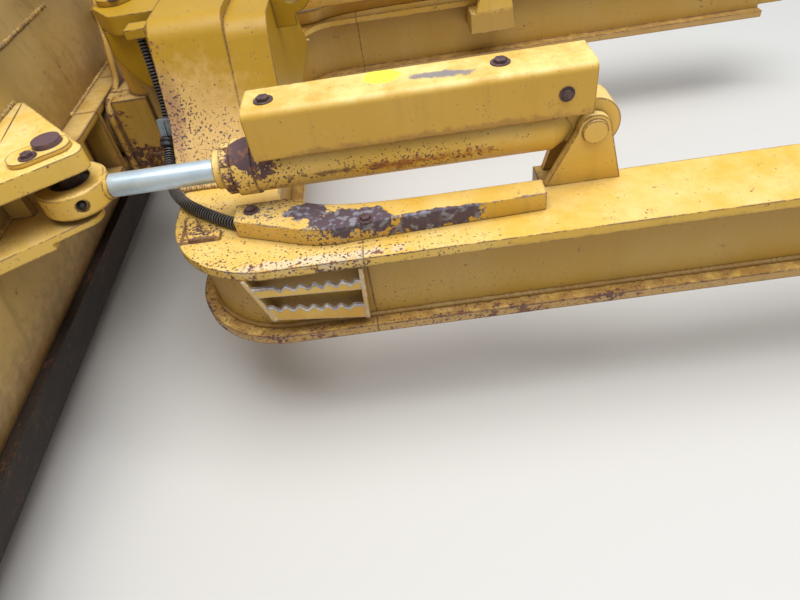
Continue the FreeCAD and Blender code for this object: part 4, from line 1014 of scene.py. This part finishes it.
def foldedCover(name):
    mesh = bpy.data.meshes.new(name)
    shape = bmesh.new()
    inner = [shape.verts.new((x, y, coverTop)) for x, y in cover["inner"]]
    outer = [shape.verts.new((x, y, coverTop)) for x, y in cover["outer"]]
    shape.faces.new(inner + outer)
    for edge in (inner, outer):
        feet = [shape.verts.new((vert.co.x, vert.co.y, cover["foot"])) for vert in edge]
        for index in range(len(edge) - 1):
            shape.faces.new((edge[index + 1], edge[index], feet[index], feet[index + 1]))
    bmesh.ops.recalc_face_normals(shape, faces=shape.faces)
    topFace = max(shape.faces, key=lambda face: len(face.verts))
    if topFace.normal.z < 0:
        bmesh.ops.reverse_faces(shape, faces=shape.faces)
    shape.to_mesh(mesh)
    shape.free()
    return mesh


leftCover = finished(foldedCover("leftFoldedCover"), cover["fold"], 3, cover["wall"])
rightCover = otherSide(leftCover, "rightFoldedCover")
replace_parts(addPiece("leftFoldedCover", leftCover, coverPaint, "push_frame"), "left_hose_cover")
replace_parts(addPiece("rightFoldedCover", rightCover, coverPaint, "push_frame"), "right_hose_cover")

# Slotted nuts on the glands of the angle cylinders.
glandNut = {
    "inner": 0.0475,
    "outer": 0.0535,
    "from": 1.8055,
    "to": 1.8255,
    "lobes": 8,
    "outline": [(0.0, "inner"), (0.36, "inner"), (0.40, "outer"), (0.68, "outer"), (0.96, "outer")],
    "turn": 0.3,
    "edge": 0.0015,
}


def slottedNut(name, side):
    outline = []
    for lobe in range(glandNut["lobes"]):
        for share, radius in glandNut["outline"]:
            turn = 2 * math.pi * (lobe + share) / glandNut["lobes"]
            outline.append((glandNut[radius] * math.cos(turn), glandNut[radius] * math.sin(turn)))
    mesh = prism(name, outline, glandNut["from"], glandNut["to"])
    alongX = Matrix.Rotation(math.pi / 2, 4, "Y") @ Matrix.Rotation(glandNut["turn"], 4, "Z")
    mesh.transform(Matrix.Translation((0, side * eyeAt[1], axisHigh)) @ alongX)
    return finished(mesh, glandNut["edge"])


for side, sign in (("left", 1), ("right", -1)):
    nut = slottedNut(side + "GlandNut", sign)
    addPiece(side + "GlandNut", nut, barrelPaint, side + "_barrel")
print("steps, covers and gland nuts")

# Floor, light and backdrop.
ground = {"corners": [(-14, -14), (16, -14), (16, 14), (-14, 14)], "colour": paintColour(206, 204, 200),
          "roughness": 0.9}
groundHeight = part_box("cutting_edge")[0].z
floorMesh = bpy.data.meshes.new("floor")
floorMesh.from_pydata([(x, y, groundHeight) for x, y in ground["corners"]], [], [(0, 1, 2, 3)])
floor = bpy.data.objects.new("floor", floorMesh)
scene.collection.objects.link(floor)
floorPaint, _, floorShader, _ = newMaterial("paleFloor")
floorShader.inputs["Base Color"].default_value = ground["colour"]
floorShader.inputs["Roughness"].default_value = ground["roughness"]
floorMesh.materials.append(floorPaint)

light = {
    "sky": 0.5,
    "skyColour": (0.86, 0.93, 1.0, 1),
    "keyPower": 430.0,
    "keySize": 5.0,
    "keyPlace": (0.9, 0.9, 5.4),
    "keyAim": (1.7, 0.5, 0.1),
}
world = bpy.data.worlds.new("softSky")
world.use_nodes = True
background = world.node_tree.nodes["Background"]
background.inputs["Color"].default_value = light["skyColour"]
background.inputs["Strength"].default_value = light["sky"]
scene.world = world
keyData = bpy.data.lights.new("softKey", "AREA")
keyData.energy = light["keyPower"]
keyData.size = light["keySize"]
key = bpy.data.objects.new("softKey", keyData)
scene.collection.objects.link(key)
aim = Vector(light["keyAim"]) - Vector(light["keyPlace"])
key.matrix_world = Matrix.Translation(light["keyPlace"]) @ aim.to_track_quat("-Z", "Y").to_matrix().to_4x4()
